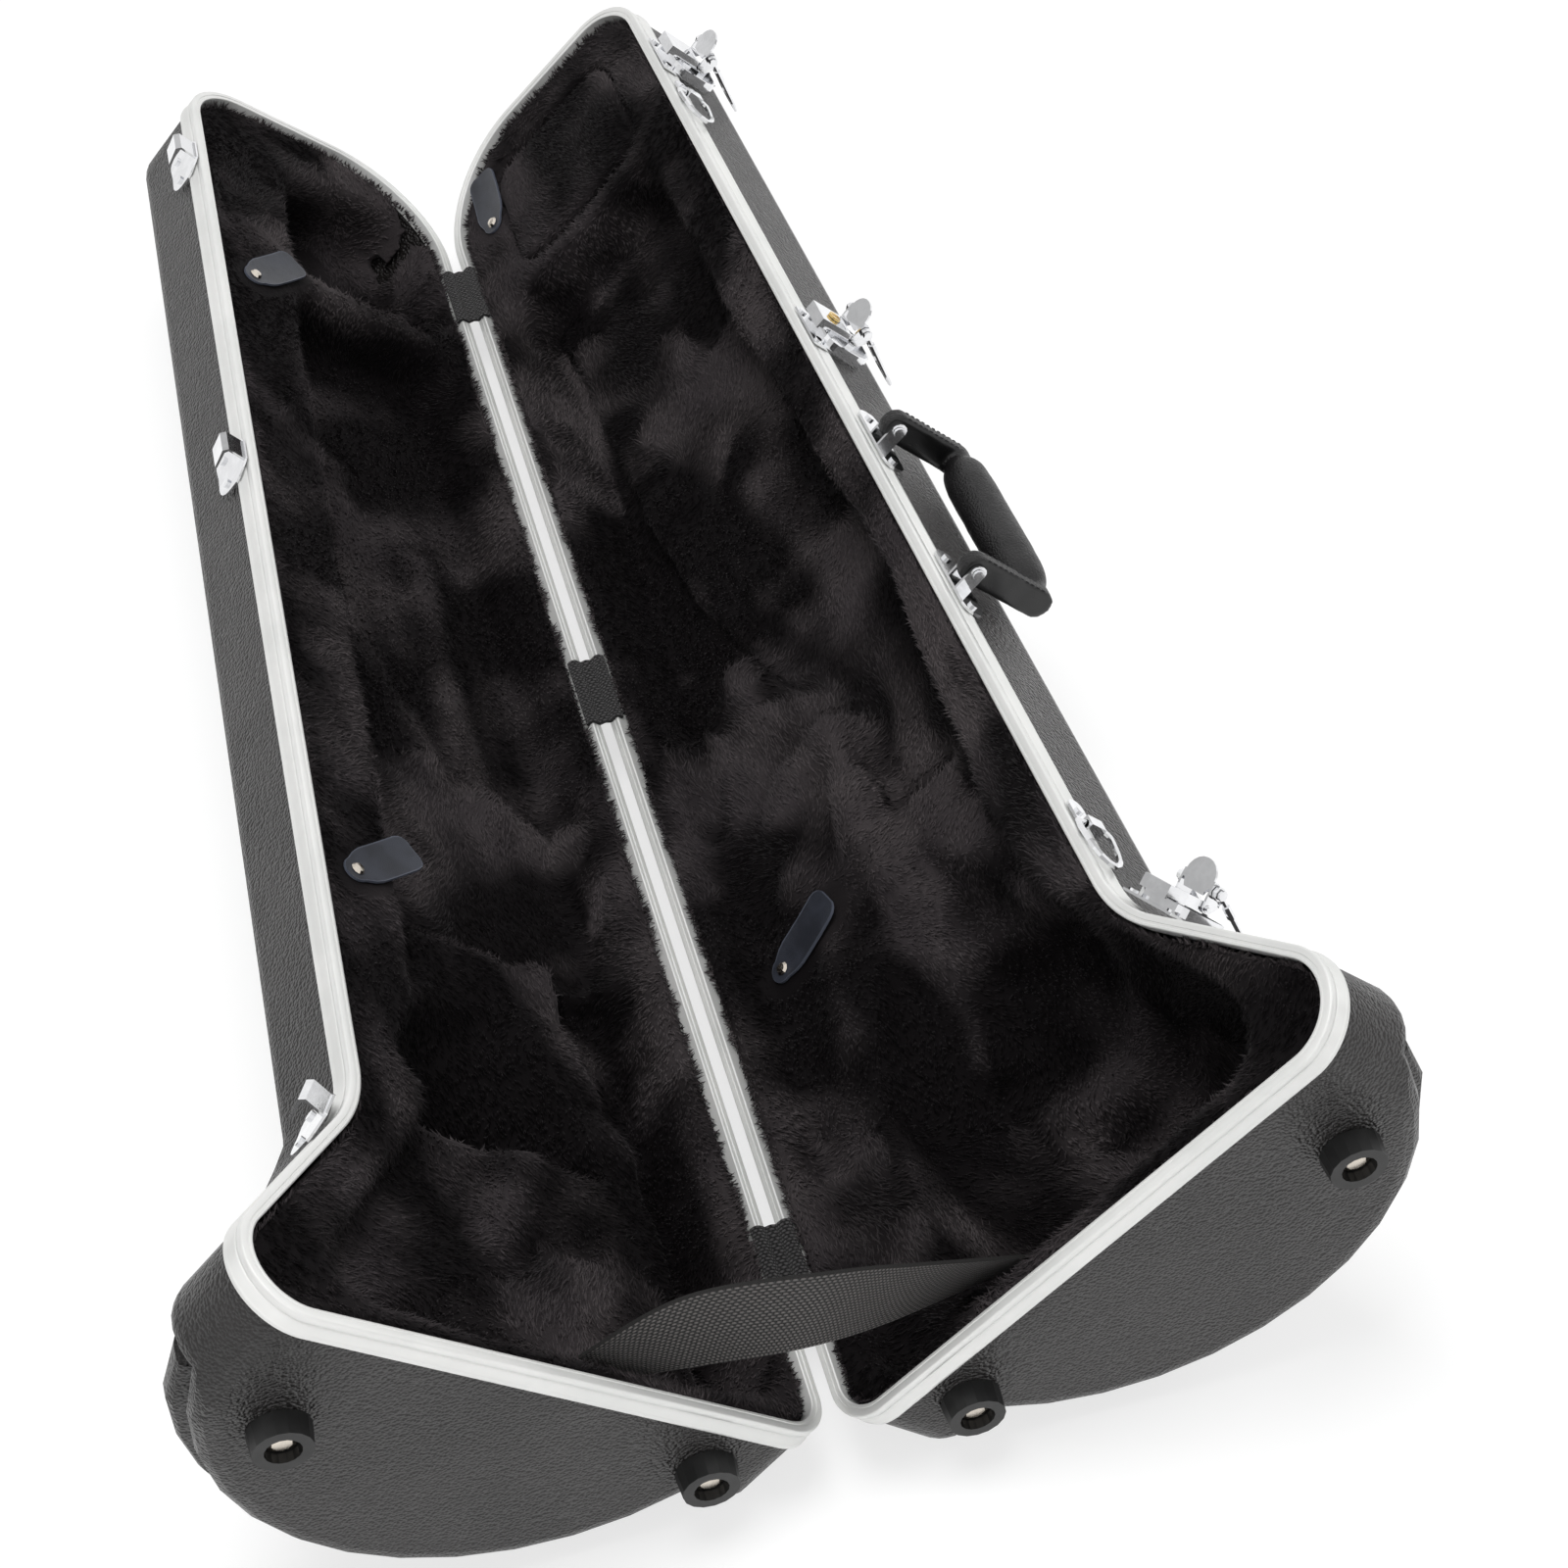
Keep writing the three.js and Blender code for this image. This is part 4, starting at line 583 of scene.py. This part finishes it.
# Folds of the loose pile cloth: a line in along and out, its width and height in mm
liningFolds = {
    -1: (((611, 48), (491, 59), (407, 79), (377, 112), 11, 5), ((344, 65), (360, 84), (362, 116), 9, 6),
         ((362, 116), (328, 110), (295, 100), 9, 5), ((318, 112), (238, 114), (166, 105), 10, 6),
         ((459, 30), (415, 32), (369, 26), 8, -5), ((464, 83), (431, 93), (394, 109), 7, 4),
         ((560, 95), (500, 110), (440, 122), 10, -3), ((300, 60), (250, 66), (200, 60), 12, 5),
         ((230, 90), (200, 150), (190, 200), 10, 4), ((130, 100), (120, 160), (150, 220), 10, 4)),
    1: (((92, 147), (159, 110), (179, 62), (166, 40), 10, 4), ((658, 111), (519, 127), (442, 100), 12, 4),
        ((404, 56), (392, 34), 12, 5), ((278, 65), (256, 34), 12, 5),
        ((600, 60), (480, 66), (380, 62), 9, 4), ((520, 150), (430, 160), (350, 150), 10, 3),
        ((250, 120), (230, 170), 10, 4)),
}
# Swivel tabs: side, along, out and depth of the rivet, and the way the tab points, in degrees
tabPlaces = ((-1, 876.96, 33, 7, 6), (-1, 262.99, 37, 28, 72),
             (1, 759.97, 162, 7, -48), (1, 280.0, 195, 7, -56))
tabCover = {"reach": 36, "depth": 12}


def nearTab(rows, side):  # how far each place of a half is from the nearest tab's middle line
    best = np.full(len(rows), farAway)
    for tabSide, along, out, deep, angle in tabPlaces:
        if tabSide == side:
            turn, reach = math.radians(angle), tabCover["reach"]
            line = (along, out), (along + reach * math.cos(turn), out + reach * math.sin(turn))
            gap = nearestOn(rows, line)[0]
            level = np.abs(rows[:, 2] - deep) < tabCover["depth"]
            best = np.minimum(best, np.where(level, gap, farAway))
    return best


def noiseAt(points, scale, finer=1, kind=noise.noise):
    return np.array([kind(Vector(point) * scale * finer) for point in points])


def unit(rows):
    return rows / np.maximum(np.linalg.norm(rows, axis=1), 1e-6)[:, None]


def foldHeights(rows, side):  # in metres: a ridge along each fold's line, a trough beside it
    total = np.zeros(len(rows))
    for *line, width, height in liningFolds[side]:
        gap = nearestOn(rows, line)[0] / width
        trough = np.exp(-(gap - foldForm["troughPlace"]) ** 2 * foldForm["troughSteep"])
        total += height * (np.exp(-gap ** 2) - foldForm["trough"] * trough)
    return total * ease(rows[:, 2], *foldForm["depths"]) * mm


def layOf(roots, ups):  # the way the pile lies at each root, along the surface
    finer, share = pileForm["curl"]
    flow = noiseAt(roots, pileForm["swirl"], kind=noise.noise_vector)
    flow += share * noiseAt(roots, pileForm["swirl"], finer, noise.noise_vector)
    flow += np.array(pileForm["grain"])
    return unit(flow - ups * (flow * ups).sum(axis=1)[:, None])


def toneAndPaintedLightOf(roots, flow, side):
    form = toneAndPaintedLightForm
    rows = readHalf(side, roots)
    finer, share = form["spot"]
    patch = noiseAt(roots, form["patchSize"]) + share * noiseAt(roots, form["patchSize"], finer)
    # painted sheen: lighter where the pile's lay points along a fixed way, as towards the light
    tone = form["plain"] + form["paintedLaySheen"] * (flow @ np.array(form["way"]))
    tone += form["patch"] * patch
    # painted light on the ridges of folds, painted shade in the troughs beside them
    tone += form["paintedFoldLightAndShade"] * foldHeights(rows, side) / form["foldHeight"]
    # painted shade: darker deep in the hollows
    tone -= form["deep"] * ease(rows[:, 2], *form["hollow"])
    # painted light: lighter on the edge beside the rim, near the top
    tone += form["edge"] * (1 - ease(rows[:, 2], *form["edgeDepth"]))
    return np.clip(tone, form["least"], form["most"])


def bakingMap(obj, side):  # a flat map of the half, leaned by the depth so that the walls have width in it
    rows = readHalf(side, readPoints(obj))
    flat = rows[:, :2] + np.array(bakeForm["lean"]) * rows[:, 2:] + np.array(bakeForm["start"])
    flat = np.clip(flat / np.array(bakeForm["size"]), 0, 1)
    corners = np.empty(len(obj.data.loops), dtype=int)
    obj.data.loops.foreach_get("vertex_index", corners)
    layer = obj.data.uv_layers.new(name="OFBake")
    layer.data.foreach_set("uv", flat[corners].ravel())


def raiseEdge(obj, side):  # the cloth's edge comes up to the rim and rolls out against it
    form = liningForm
    rows = readHalf(side, readPoints(obj))
    inset, away = nearestOn(rows, roundedOutline(0), closed=True)
    upper = 1 - ease(rows[:, 2], *form["edgeDepth"])
    near = 1 - ease(inset, *form["edgeWidth"])
    roll = np.clip((form["edgeDepth"][0] - rows[:, 2]) / form["rollDepth"], 0, 1)
    reach = (form["edgeReach"] + form["edgeRoll"] * roll) * near * upper
    rows[:, :2] += away * reach[:, None]
    rows[:, 2] -= form["edgeLift"] * near * upper
    writePoints(obj, placeHalf(side, rows))


def gapsTo(nodeName, points):  # how far each point is from a solid's skin
    mesh = nodes[nodeName].data
    tree = BVHTree.FromPolygons([v.co for v in mesh.vertices], [p.vertices for p in mesh.polygons])
    return np.array([tree.find_nearest(Vector(point))[3] for point in points])


def tuftMesh(name, roots, normals, ways, lengths, widths, tips):  # a closed three-sided tuft at each root
    across = np.cross(ways, normals)
    across /= np.linalg.norm(across, axis=1)[:, None]
    half = across * widths[:, None] * 0.5
    top = normals * (widths * pileForm["height"])[:, None]
    sunk = roots - normals * pileForm["sunk"]
    corners = np.stack([sunk + half, sunk - half, sunk + top, sunk + ways * lengths[:, None]], axis=1)
    oneTuft = np.array(((0, 3, 2), (2, 3, 1), (1, 3, 0), (0, 2, 1)))
    faces = (np.arange(len(roots)) * 4)[:, None, None] + oneTuft
    mesh = bpy.data.meshes.new(name)
    mesh.from_pydata(corners.reshape(-1, 3).tolist(), [], faces.reshape(-1, 3).tolist())
    # painted shade: each tuft's root corners are darker than its tip
    shares = tips[:, None] * np.array(pileForm["shares"])
    mesh.attributes.new("pile", "FLOAT", "POINT").data.foreach_set("value", shares.ravel())
    return intoScene(bpy.data.objects.new(name, mesh))


def growPile(obj, side, shown, extra=None):  # shown: for each vertex, whether pile grows round it
    form = pileForm
    mesh = obj.data
    points, normals = readPoints(obj), readPoints(obj, "normal")
    # the backing gets the tone's painted light and shade, and is darkened further as painted shade under the
    # tufts
    shadedBacking = toneAndPaintedLightOf(points, layOf(points, normals), side) * toneAndPaintedLightForm["shadedBacking"]
    mesh.attributes.new("pile", "FLOAT", "POINT").data.foreach_set("value", shadedBacking)
    mesh.calc_loop_triangles()
    corners = np.empty(len(mesh.loop_triangles) * 3, dtype=int)
    mesh.loop_triangles.foreach_get("vertices", corners)
    corners = corners.reshape(-1, 3)
    corners = corners[shown[corners].all(axis=1)]
    a, b, c = (points[corners[:, k]] for k in range(3))
    areas = np.linalg.norm(np.cross(b - a, c - a), axis=1) / 2
    random = np.random.default_rng(form["seed"])
    count = int(areas.sum() / form["area"])
    picked = random.choice(len(corners), count, p=areas / areas.sum())
    u, v = random.random(count), random.random(count)
    over = u + v > 1  # back inside its triangle
    u[over], v[over] = 1 - u[over], 1 - v[over]
    roots = a[picked] + (b - a)[picked] * u[:, None] + (c - a)[picked] * v[:, None]
    up = unit(sum(normals[corners[picked, k]] for k in range(3)))
    flow = layOf(roots, up)
    stray = random.normal(0, 1, (count, 3)) * form["stray"]
    free = ease(nearTab(readHalf(side, roots), side), *form["besideTab"])  # pile lies flat under a tab
    rise = form["rise"] * (form["pressedRise"] + (1 - form["pressedRise"]) * free)
    ways = unit(flow * form["sweep"] + up * rise[:, None] + stray * free[:, None])
    low = ((ways * up).sum(axis=1) < form["leastRise"]) & (free > 0.5)
    ways[low] += up[low] * form["lifted"]
    ways = unit(ways)
    lengths = form["length"] * random.uniform(*form["lengths"], count)
    widths = form["width"] * random.uniform(*form["widths"], count)
    widths *= form["pressedWidth"] + (1 - form["pressedWidth"]) * free
    # the tips carry the tone's painted light and shade
    tips = random.uniform(*form["tips"], count) * toneAndPaintedLightOf(roots, flow, side)
    tufts = tuftMesh(obj.name + "Tufts", roots, up, ways, lengths, widths, tips)
    pickOnly(tufts)
    bpy.ops.object.shade_smooth()
    obj.select_set(True)
    if extra:
        extra.select_set(True)
    bpy.context.view_layer.objects.active = obj
    bpy.ops.object.join()
    bakingMap(obj, side)
    return count


fringeForm = {"inset": 9.0, "pitch": 0.75, "deep": (3.2, 6.0), "lean": 0.55, "outward": (0.35, 0.75),
              "up": (0.5, 1.1), "reach": (2.6, 6.4), "tangle": 0.06, "tangled": (0.75, 1.3),
              "tangledRange": (0.35, 1.15), "least": 0.45, "width": 0.0013, "tips": (0.3, 0.9)}


def edgeFringe(side, name):  # tufts along the lining's edge that lean up against the rim's inner wall
    form = fringeForm
    random = np.random.default_rng(pileForm["seed"] + side)
    edge = np.array([tuple(point) for point in roundedOutline(form["inset"])])
    runs = np.roll(edge, -1, axis=0) - edge
    sizes = np.hypot(runs[:, 0], runs[:, 1])
    count = int(sizes.sum() / form["pitch"])
    picked = random.choice(len(edge), count, p=sizes / sizes.sum())
    flat = edge[picked] + runs[picked] * random.random(count)[:, None]
    along = runs[picked] / sizes[picked][:, None]
    outward = np.stack([along[:, 1], -along[:, 0]], axis=1)
    deep = random.uniform(*form["deep"], count)
    lean = random.normal(0, form["lean"], count)
    rows = np.column_stack([flat, deep])
    sideways = outward * random.uniform(*form["outward"], count)[:, None] + along * lean[:, None]
    steps = np.column_stack([sideways, -random.uniform(*form["up"], count)])
    tangle = np.array([noise.noise(Vector((x * form["tangle"], y * form["tangle"], side))) for x, y in flat])
    plain, share = form["tangled"]
    reach = random.uniform(*form["reach"], count) * np.clip(plain + share * tangle, *form["tangledRange"])
    steps = unit(steps) * reach[:, None]
    steps[:, 2] = np.maximum(steps[:, 2], form["least"] - rows[:, 2])
    roots = placeHalf(side, rows)
    ways = placeHalf(side, rows + steps) - roots
    lengths = np.linalg.norm(ways, axis=1)
    ups = placeHalf(side, rows + np.array((0, 0, -1.0))) - roots
    ups /= np.linalg.norm(ups, axis=1)[:, None]
    widths = np.full(count, form["width"])
    tips = random.uniform(*form["tips"], count)
    return tuftMesh(name, roots, ups, ways / lengths[:, None], lengths, widths, tips)


def plushLining(half, side):
    form = liningForm
    obj = softCopy(f"{half}_lining", f"{half}Plush", form)
    gap = gapsTo(f"{half}_shell", readPoints(obj))
    raiseEdge(obj, side)
    points, normals = readPoints(obj), readPoints(obj, "normal")
    rows = readHalf(side, points)
    share = ease(gap, form["skin"], form["skin"] * form["skinEase"])
    share *= ease(nearTab(rows, side), *form["besideTab"])
    lumps = noiseAt(points, form["lumpSize"]) * form["lump"]
    writePoints(obj, points + normals * ((lumps + foldHeights(rows, side)) * share)[:, None])
    bpy.ops.object.shade_smooth()
    rows = readHalf(side, readPoints(obj))
    edgeDepth, edgeGap = form["edgeShown"]
    shown = (gap > form["skin"]) | ((rows[:, 2] < edgeDepth) & (gap > edgeGap))
    tufts = growPile(obj, side, shown, edgeFringe(side, f"{half}PlushFringe"))
    give(obj, plushPile)
    print(obj.name, "tufts", tufts)
    return obj


for side, half in halves:
    plush = plushLining(half, side)
    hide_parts(f"{half}_lining")
    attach(plush, f"{half}_half")
    print(half, "lining ready", len(plush.data.polygons))

# Padded inset of the small compartment
insetForm = {"voxel": 0.0025, "smooth": 6, "buried": 14.0}
insetPlush = softCopy("compartment_pad", "insetPad", insetForm)
bpy.ops.object.shade_smooth()
growPile(insetPlush, -1, readHalf(-1, readPoints(insetPlush))[:, 2] < insetForm["buried"])
give(insetPlush, plushPile)
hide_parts("compartment_pad")
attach(insetPlush, "right_half")
print("inset ready")


def gridSheet(name, count, placeOf, thickness, even):  # placeOf(row, across) has across from -0.5 to 0.5
    bpy.ops.mesh.primitive_grid_add(x_subdivisions=8, y_subdivisions=count - 1, size=1)
    obj = bpy.context.active_object
    obj.name = obj.data.name = name
    for vertex in obj.data.vertices:
        row = round((vertex.co.y + 0.5) * (count - 1))
        vertex.co = placeOf(row, vertex.co.x)
    area = sum(face.area for face in obj.data.polygons)
    solid = obj.modifiers.new("Thickness", "SOLIDIFY")
    solid.thickness = thickness
    solid.offset = 0
    solid.use_even_offset = even
    applyAll(obj)
    return obj, area


def band(name, rows, thickness):  # webbing: rows has its two edge points for each place along it
    obj, _ = gridSheet(name, len(rows), lambda row, across: rows[row][0].lerp(rows[row][1], across + 0.5),
                       thickness, even=True)
    shadeByAngle(obj, 40)
    return obj


def curveThrough(points, count):  # a smooth run of places through a few points
    places = []
    for k in range(count):
        t = k / (count - 1) * (len(points) - 1)
        i = min(int(t), len(points) - 2)
        f = t - i
        p0 = points[max(i - 1, 0)]
        p1, p2 = points[i], points[i + 1]
        p3 = points[min(i + 2, len(points) - 1)]
        places.append(0.5 * (2 * p1 + (p2 - p0) * f + (2 * p0 - 5 * p1 + 4 * p2 - p3) * f ** 2
                             + (3 * p1 - p0 - 3 * p2 + p3) * f ** 3))
    return places


strapShape = {
    "plane": 22.0, "width": 0.341,
    "upper": [(0.306, 0.243, 0), (0.16, 0.307, 0.003), (-0.03, 0.277, 0.003), (-0.132, 0.248, 0.003),
              (-0.225, 0.219, 0.003), (-0.367, 0.18, 0)],
    "lower": [(0.237, 0.173, 0), (0.128, 0.149, 0.003), (0.018, 0.132, 0.003), (-0.088, 0.121, 0.015),
              (-0.235, 0.104, 0.05), (-0.302, 0.18, 0)],
    "steps": 60, "thickness": 0.0017,
}


def strapEdge(name):  # each place across, up and swayed along, as shares of the bell's width
    ox, oy, oz = halfFrame["origin"]
    bell = strapShape["width"]
    places = [Vector(((strapShape["plane"] + ox) * mm + sway * bell, across * bell, up * bell + oz * mm))
              for across, up, sway in strapShape[name]]
    return curveThrough(places, strapShape["steps"] + 1)


upperEdge, lowerEdge = strapEdge("upper"), strapEdge("lower")
stayStrap = band("stayStrap", list(zip(upperEdge, lowerEdge)), strapShape["thickness"])
give(stayStrap, strapWeave)
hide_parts("stay_strap")
middles = [(upper + lower) / 2 for upper, lower in zip(upperEdge, lowerEdge)]
strapLength = sum((after - before).length for before, after in zip(middles, middles[1:]))
print("strap length", round(strapLength, 4))
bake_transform(stayStrap)
print("strap ready")

hingeBands = {
    "places": (807, 457, 70), "length": 48, "thickness": 0.0014, "steps": 32, "middle": (5.2, -1.1),
    "section": ((10.1, 3.2), (9.95, 1.1), (8.7, -0.5), (6.4, -0.75), (4.6, -0.75)),
}


def hingeBand(index, along):  # from the right rim's wall over both rims to the left rim's wall
    edges = []
    for start in (along, along + hingeBands["length"]):
        right, left = ([onHalf(side, start, out, deep) for out, deep in hingeBands["section"]]
                       for side, half in halves)
        middle = (onHalf(-1, start, *hingeBands["middle"]) + onHalf(1, start, *hingeBands["middle"])) / 2
        edges.append(curveThrough([*right, middle, *reversed(left)], hingeBands["steps"] + 1))
    return band(f"hingeBand{index}", list(zip(*edges)), hingeBands["thickness"])


for i, along in enumerate(hingeBands["places"]):
    piece = hingeBand(i + 1, along)
    give(piece, hingeWeave)
    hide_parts(f"hinge_webbing_{i + 1}")
    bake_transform(piece)
print("hinge bands ready")

# Tabs: tongues of vinyl held by a rivet, their free ends lifted a little by the pile
tabForm = {
    "root": 7.2, "half": 10.5, "length": 43, "corner": 6.5, "thickness": 1.3,
    "lift": 1.0, "curl": 2.6, "curlFrom": 5, "cup": 0.9, "smooth": 45,
    "stations": (-7.15, -6.9, -6, -4.6, -2.4, 0, 2.5, 5.5, 10, 16, 22, 28, 33, 36.5, 39.5, 41.4, 42.5, 42.95),
}


def tabHalfWidth(x):  # x runs from the rivet to the free end, with round ends that keep a little width
    root, half, corner = tabForm["root"], tabForm["half"], tabForm["corner"]
    past = x - (tabForm["length"] - corner)
    if x < 0:
        return math.sqrt(max(root ** 2 - x * x, 0.8))
    if x < half:
        return root + (half - root) * math.sin(x / half * math.pi / 2)
    if past <= 0:
        return half
    return half - corner + math.sqrt(max(corner ** 2 - past * past, 0.8))


def tabSheet(index, side, along, out, deep, angle):
    direction = Vector((math.cos(math.radians(angle)), math.sin(math.radians(angle))))
    sideways = Vector((-direction.y, direction.x))

    def placeOf(row, across):
        x = tabForm["stations"][row]
        y = across * 2 * tabHalfWidth(x)
        curl = max((x - tabForm["curlFrom"]) / (tabForm["length"] - tabForm["curlFrom"]), 0) ** 2
        lift = tabForm["lift"] + tabForm["curl"] * curl + tabForm["cup"] * (y / tabForm["half"]) ** 2
        spot = Vector((along, out)) + direction * x + sideways * y
        return onHalf(side, spot.x, spot.y, deep - lift)

    obj, area = gridSheet(f"tabSheet{index}", len(tabForm["stations"]), placeOf, tabForm["thickness"] * mm,
                          even=False)
    faceOutward(obj)
    shadeByAngle(obj, tabForm["smooth"])
    give(obj, tabVinyl)
    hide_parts(f"tab_{index}")
    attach(obj, f"swivel_tab_{index}")


for i, place in enumerate(tabPlaces):
    tabSheet(i + 1, *place)
print("tabs ready")

# Handle: padded leather on the grip and the legs' faces, smooth trim on their sides, stitched along the edges
handleForm = {
    "voxel": 0.0012, "smooth": 3, "relax": 4, "middle": 419.0, "half": 59.0, "leg": 8.0, "axis": (13, 58),
    "grip": {"radius": 12.2, "reach": 54.5, "fullness": 8, "round": 0.4, "most": 4, "core": 4, "clear": 0.5},
    "lump": 0.25, "lumpSize": 0.12, "trim": {"facing": 0.75, "width": 5},
    "stitch": {"length": 2.6, "radius": 0.38, "pitch": 3.9, "edge": 2.7, "sunk": 0.1, "from": 16, "to": 58},
}


def wallFrame(along):  # foot on the front wall, the way along it and the way out of it
    (farX, farY), (nearX, nearY) = caseOutline["corners"][2:4]
    slope = (nearY - farY) / (farX - nearX)
    angle = -math.atan(slope)
    foot = Vector((along, nearY - (along - nearX) * slope))
    return foot, Vector((math.cos(angle), math.sin(angle))), Vector((-math.sin(angle), math.cos(angle)))


def onWall(x, y, deep):  # from the handle's middle: along the wall, out of it and deep
    foot, run, out = wallFrame(handleForm["middle"])
    spot = foot + run * x + out * y
    return onHalf(-1, spot.x, spot.y, deep)


def handleSkin():
    form = handleForm
    obj = softCopy("handle", "handleSkin", form)
    foot, run, out = wallFrame(form["middle"])
    rows = readHalf(-1, readPoints(obj))
    normals = readPoints(obj, "normal")
    x, y = ((rows[:, :2] - np.array(foot)) @ np.array(way) for way in (run, out))
    grip = form["grip"]
    ends = np.clip(1 - (np.abs(x) / grip["reach"]) ** grip["fullness"], 0, 1)
    wanted = grip["radius"] * ends ** grip["round"]
    radial = np.hypot(y - form["axis"][0], rows[:, 2] - form["axis"][1])
    onGrip = (np.abs(x) < grip["reach"] - grip["clear"]) * (radial > grip["core"])
    swell = np.clip(wanted - radial, 0, grip["most"]) * onGrip
    swell += form["lump"] * noiseAt(rows, form["lumpSize"])
    writePoints(obj, readPoints(obj) + normals * (swell * mm)[:, None])
    relax = obj.modifiers.new("Relax", "SMOOTH")
    relax.iterations = form["relax"]
    applyAll(obj)
    bpy.ops.object.shade_smooth()
    give(obj, handleLeather)
    obj.data.materials.append(handleTrim)
    way = (onWall(1, 0, 0) - onWall(0, 0, 0)).normalized()
    trim = form["trim"]
    for face in obj.data.polygons:
        reach = abs(x[face.vertices[0]])
        if abs(face.normal.dot(way)) > trim["facing"] and reach > form["half"] - trim["width"]:
            face.material_index = 1
    return obj


handle = handleSkin()
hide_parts("handle")
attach(handle, "carrying_handle")


def handleStitches():  # one long bead for each stitch, down both edges of both legs
    form = handleForm["stitch"]
    bpy.ops.mesh.primitive_uv_sphere_add(segments=8, ring_count=6, radius=form["radius"] * mm)
    bead = bpy.context.active_object
    base = [Vector((co.x, co.y, co.z * form["length"] / 2 / form["radius"]))
            for co in (vertex.co for vertex in bead.data.vertices)]
    places = [(leg * handleForm["half"] + edge * form["edge"], deep)
              for deep in np.arange(form["from"], form["to"], form["pitch"])
              for leg in (-1, 1) for edge in (-1, 1)]
    top = handleForm["axis"][0]
    stitches = []
    for x, deep in places:
        stitch = intoScene(bead.copy())
        stitch.data = bead.data.copy()
        middle = onWall(x, top + handleForm["leg"] - form["sunk"], deep)
        turn = (onWall(x, top, deep + 1) - onWall(x, top, deep)).to_track_quat("Z", "Y")
        for vertex, place in zip(stitch.data.vertices, base):
            vertex.co = middle + turn @ place
        stitches.append(stitch)
    bpy.data.objects.remove(bead)
    for stitch in stitches:
        stitch.select_set(True)
    bpy.context.view_layer.objects.active = stitches[0]
    bpy.ops.object.join()
    obj = bpy.context.active_object
    obj.name = obj.data.name = "handleStitches"
    bpy.ops.object.shade_smooth()
    give(obj, stitchThread)
    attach(obj, "carrying_handle")


handleStitches()
print("handle ready")

# Stage: floor, world, lamps and camera
stageForm = {"floor": 7.0, "below": -0.0005, "bounce": (0.9, 0.9, 0.9), "shadowed": (0.35, 0.35, 0.35),
             "glow": 0.68}
studio = {"light": 0.36, "panelScale": 2.3, "panelRange": (0.42, 0.56, 0.5, 1.0), "skyRange": (0.35, 0.8)}


def buildFloor():
    bpy.ops.mesh.primitive_plane_add(size=stageForm["floor"] * 2, location=(0, 0, stageForm["below"]))
    floor = bpy.context.active_object
    floor.name = "floor"
    material = bpy.data.materials.new("paleFloor")
    material.use_nodes = True
    tree = material.node_tree
    tree.nodes.clear()
    output = newNode(tree, "OutputMaterial")
    matt = newNode(tree, "BsdfDiffuse")
    glow = newNode(tree, "Emission")
    path = newNode(tree, "LightPath")
    seen = mathNode(tree, "ADD", path.outputs["Is Camera Ray"], path.outputs["Is Glossy Ray"], clamp=True)
    tree.links.new(mixColours(tree, seen, stageForm["bounce"], stageForm["shadowed"]), matt.inputs["Color"])
    tree.links.new(mathNode(tree, "MULTIPLY", seen, stageForm["glow"]), glow.inputs["Strength"])
    both = newNode(tree, "AddShader")
    tree.links.new(matt.outputs[0], both.inputs[0])
    tree.links.new(glow.outputs[0], both.inputs[1])
    tree.links.new(both.outputs[0], output.inputs["Surface"])
    floor.data.materials.append(material)


def buildWorld():  # white where the camera looks, softer light from all round, grey panels in reflections
    world = bpy.data.worlds.new("studio")
    bpy.context.scene.world = world
    world.use_nodes = True
    tree = world.node_tree
    background = tree.nodes["Background"]
    path = newNode(tree, "LightPath")
    place = newNode(tree, "TexCoord")
    split = newNode(tree, "SeparateXYZ")
    tree.links.new(place.outputs["Generated"], split.inputs[0])
    blocks = noiseNode(tree, place.outputs["Generated"], studio["panelScale"], 0.0)
    panels = rampNode(tree, blocks, *studio["panelRange"])
    sky = rampNode(tree, split.outputs["Z"], *studio["skyRange"])
    mirrored = mathNode(tree, "MAXIMUM", panels, sky)
    glossy = path.outputs["Is Glossy Ray"]
    seen = mathNode(tree, "ADD", path.outputs["Is Camera Ray"], path.outputs["Is Transmission Ray"], True)
    shown = mathNode(tree, "MAXIMUM", seen, mathNode(tree, "MULTIPLY", glossy, mirrored))
    plain = mathNode(tree, "MULTIPLY", mathNode(tree, "SUBTRACT", 1.0, glossy), studio["light"])
    tree.links.new(mathNode(tree, "MAXIMUM", shown, plain), background.inputs["Strength"])
    background.inputs["Color"].default_value = (1, 1, 1, 1)


lamps = {
    "above": {"place": (-0.1, 0.15, 2.6), "power": 50, "size": 1.3},
    "front": {"place": (-2.4, 0.4, 1.3), "power": 18, "size": 1.6},
    "rightSide": {"place": (0.4, -2.4, 1.2), "power": 14, "size": 1.6},
}


def buildLamps():  # all aimed at the middle of the case
    for name, lamp in lamps.items():
        data = bpy.data.lights.new(name, "AREA")
        data.energy = lamp["power"]
        data.size = lamp["size"]
        obj = intoScene(bpy.data.objects.new(name, data))
        obj.location = lamp["place"]
        obj.rotation_euler = (Vector((0, 0, 0.1)) - obj.location).to_track_quat("-Z", "Y").to_euler()
        obj.visible_glossy = False


cameraForm = {
    "place": (-1.25061, 0.1536, 1.32308), "lens": 77.749,
    "right": (-0.25956, -0.96371, -0.06243), "down": (-0.69765, 0.23182, -0.67790),
    "forward": (0.66776, -0.13240, -0.73250), "sensor": 36,
}


def buildCamera():
    data = bpy.data.cameras.new("camera")
    data.lens = cameraForm["lens"]
    data.sensor_width = cameraForm["sensor"]
    camera = intoScene(bpy.data.objects.new("camera", data))
    right, down, forward = (Vector(cameraForm[key]) for key in ("right", "down", "forward"))
    turn = Matrix((right, -down, -forward)).transposed()
    camera.matrix_world = Matrix.Translation(cameraForm["place"]) @ turn.to_4x4()
    bpy.context.scene.camera = camera


buildFloor()
buildWorld()
buildLamps()
buildCamera()
bpy.context.scene.view_settings.view_transform = "Standard"
print("stage ready")
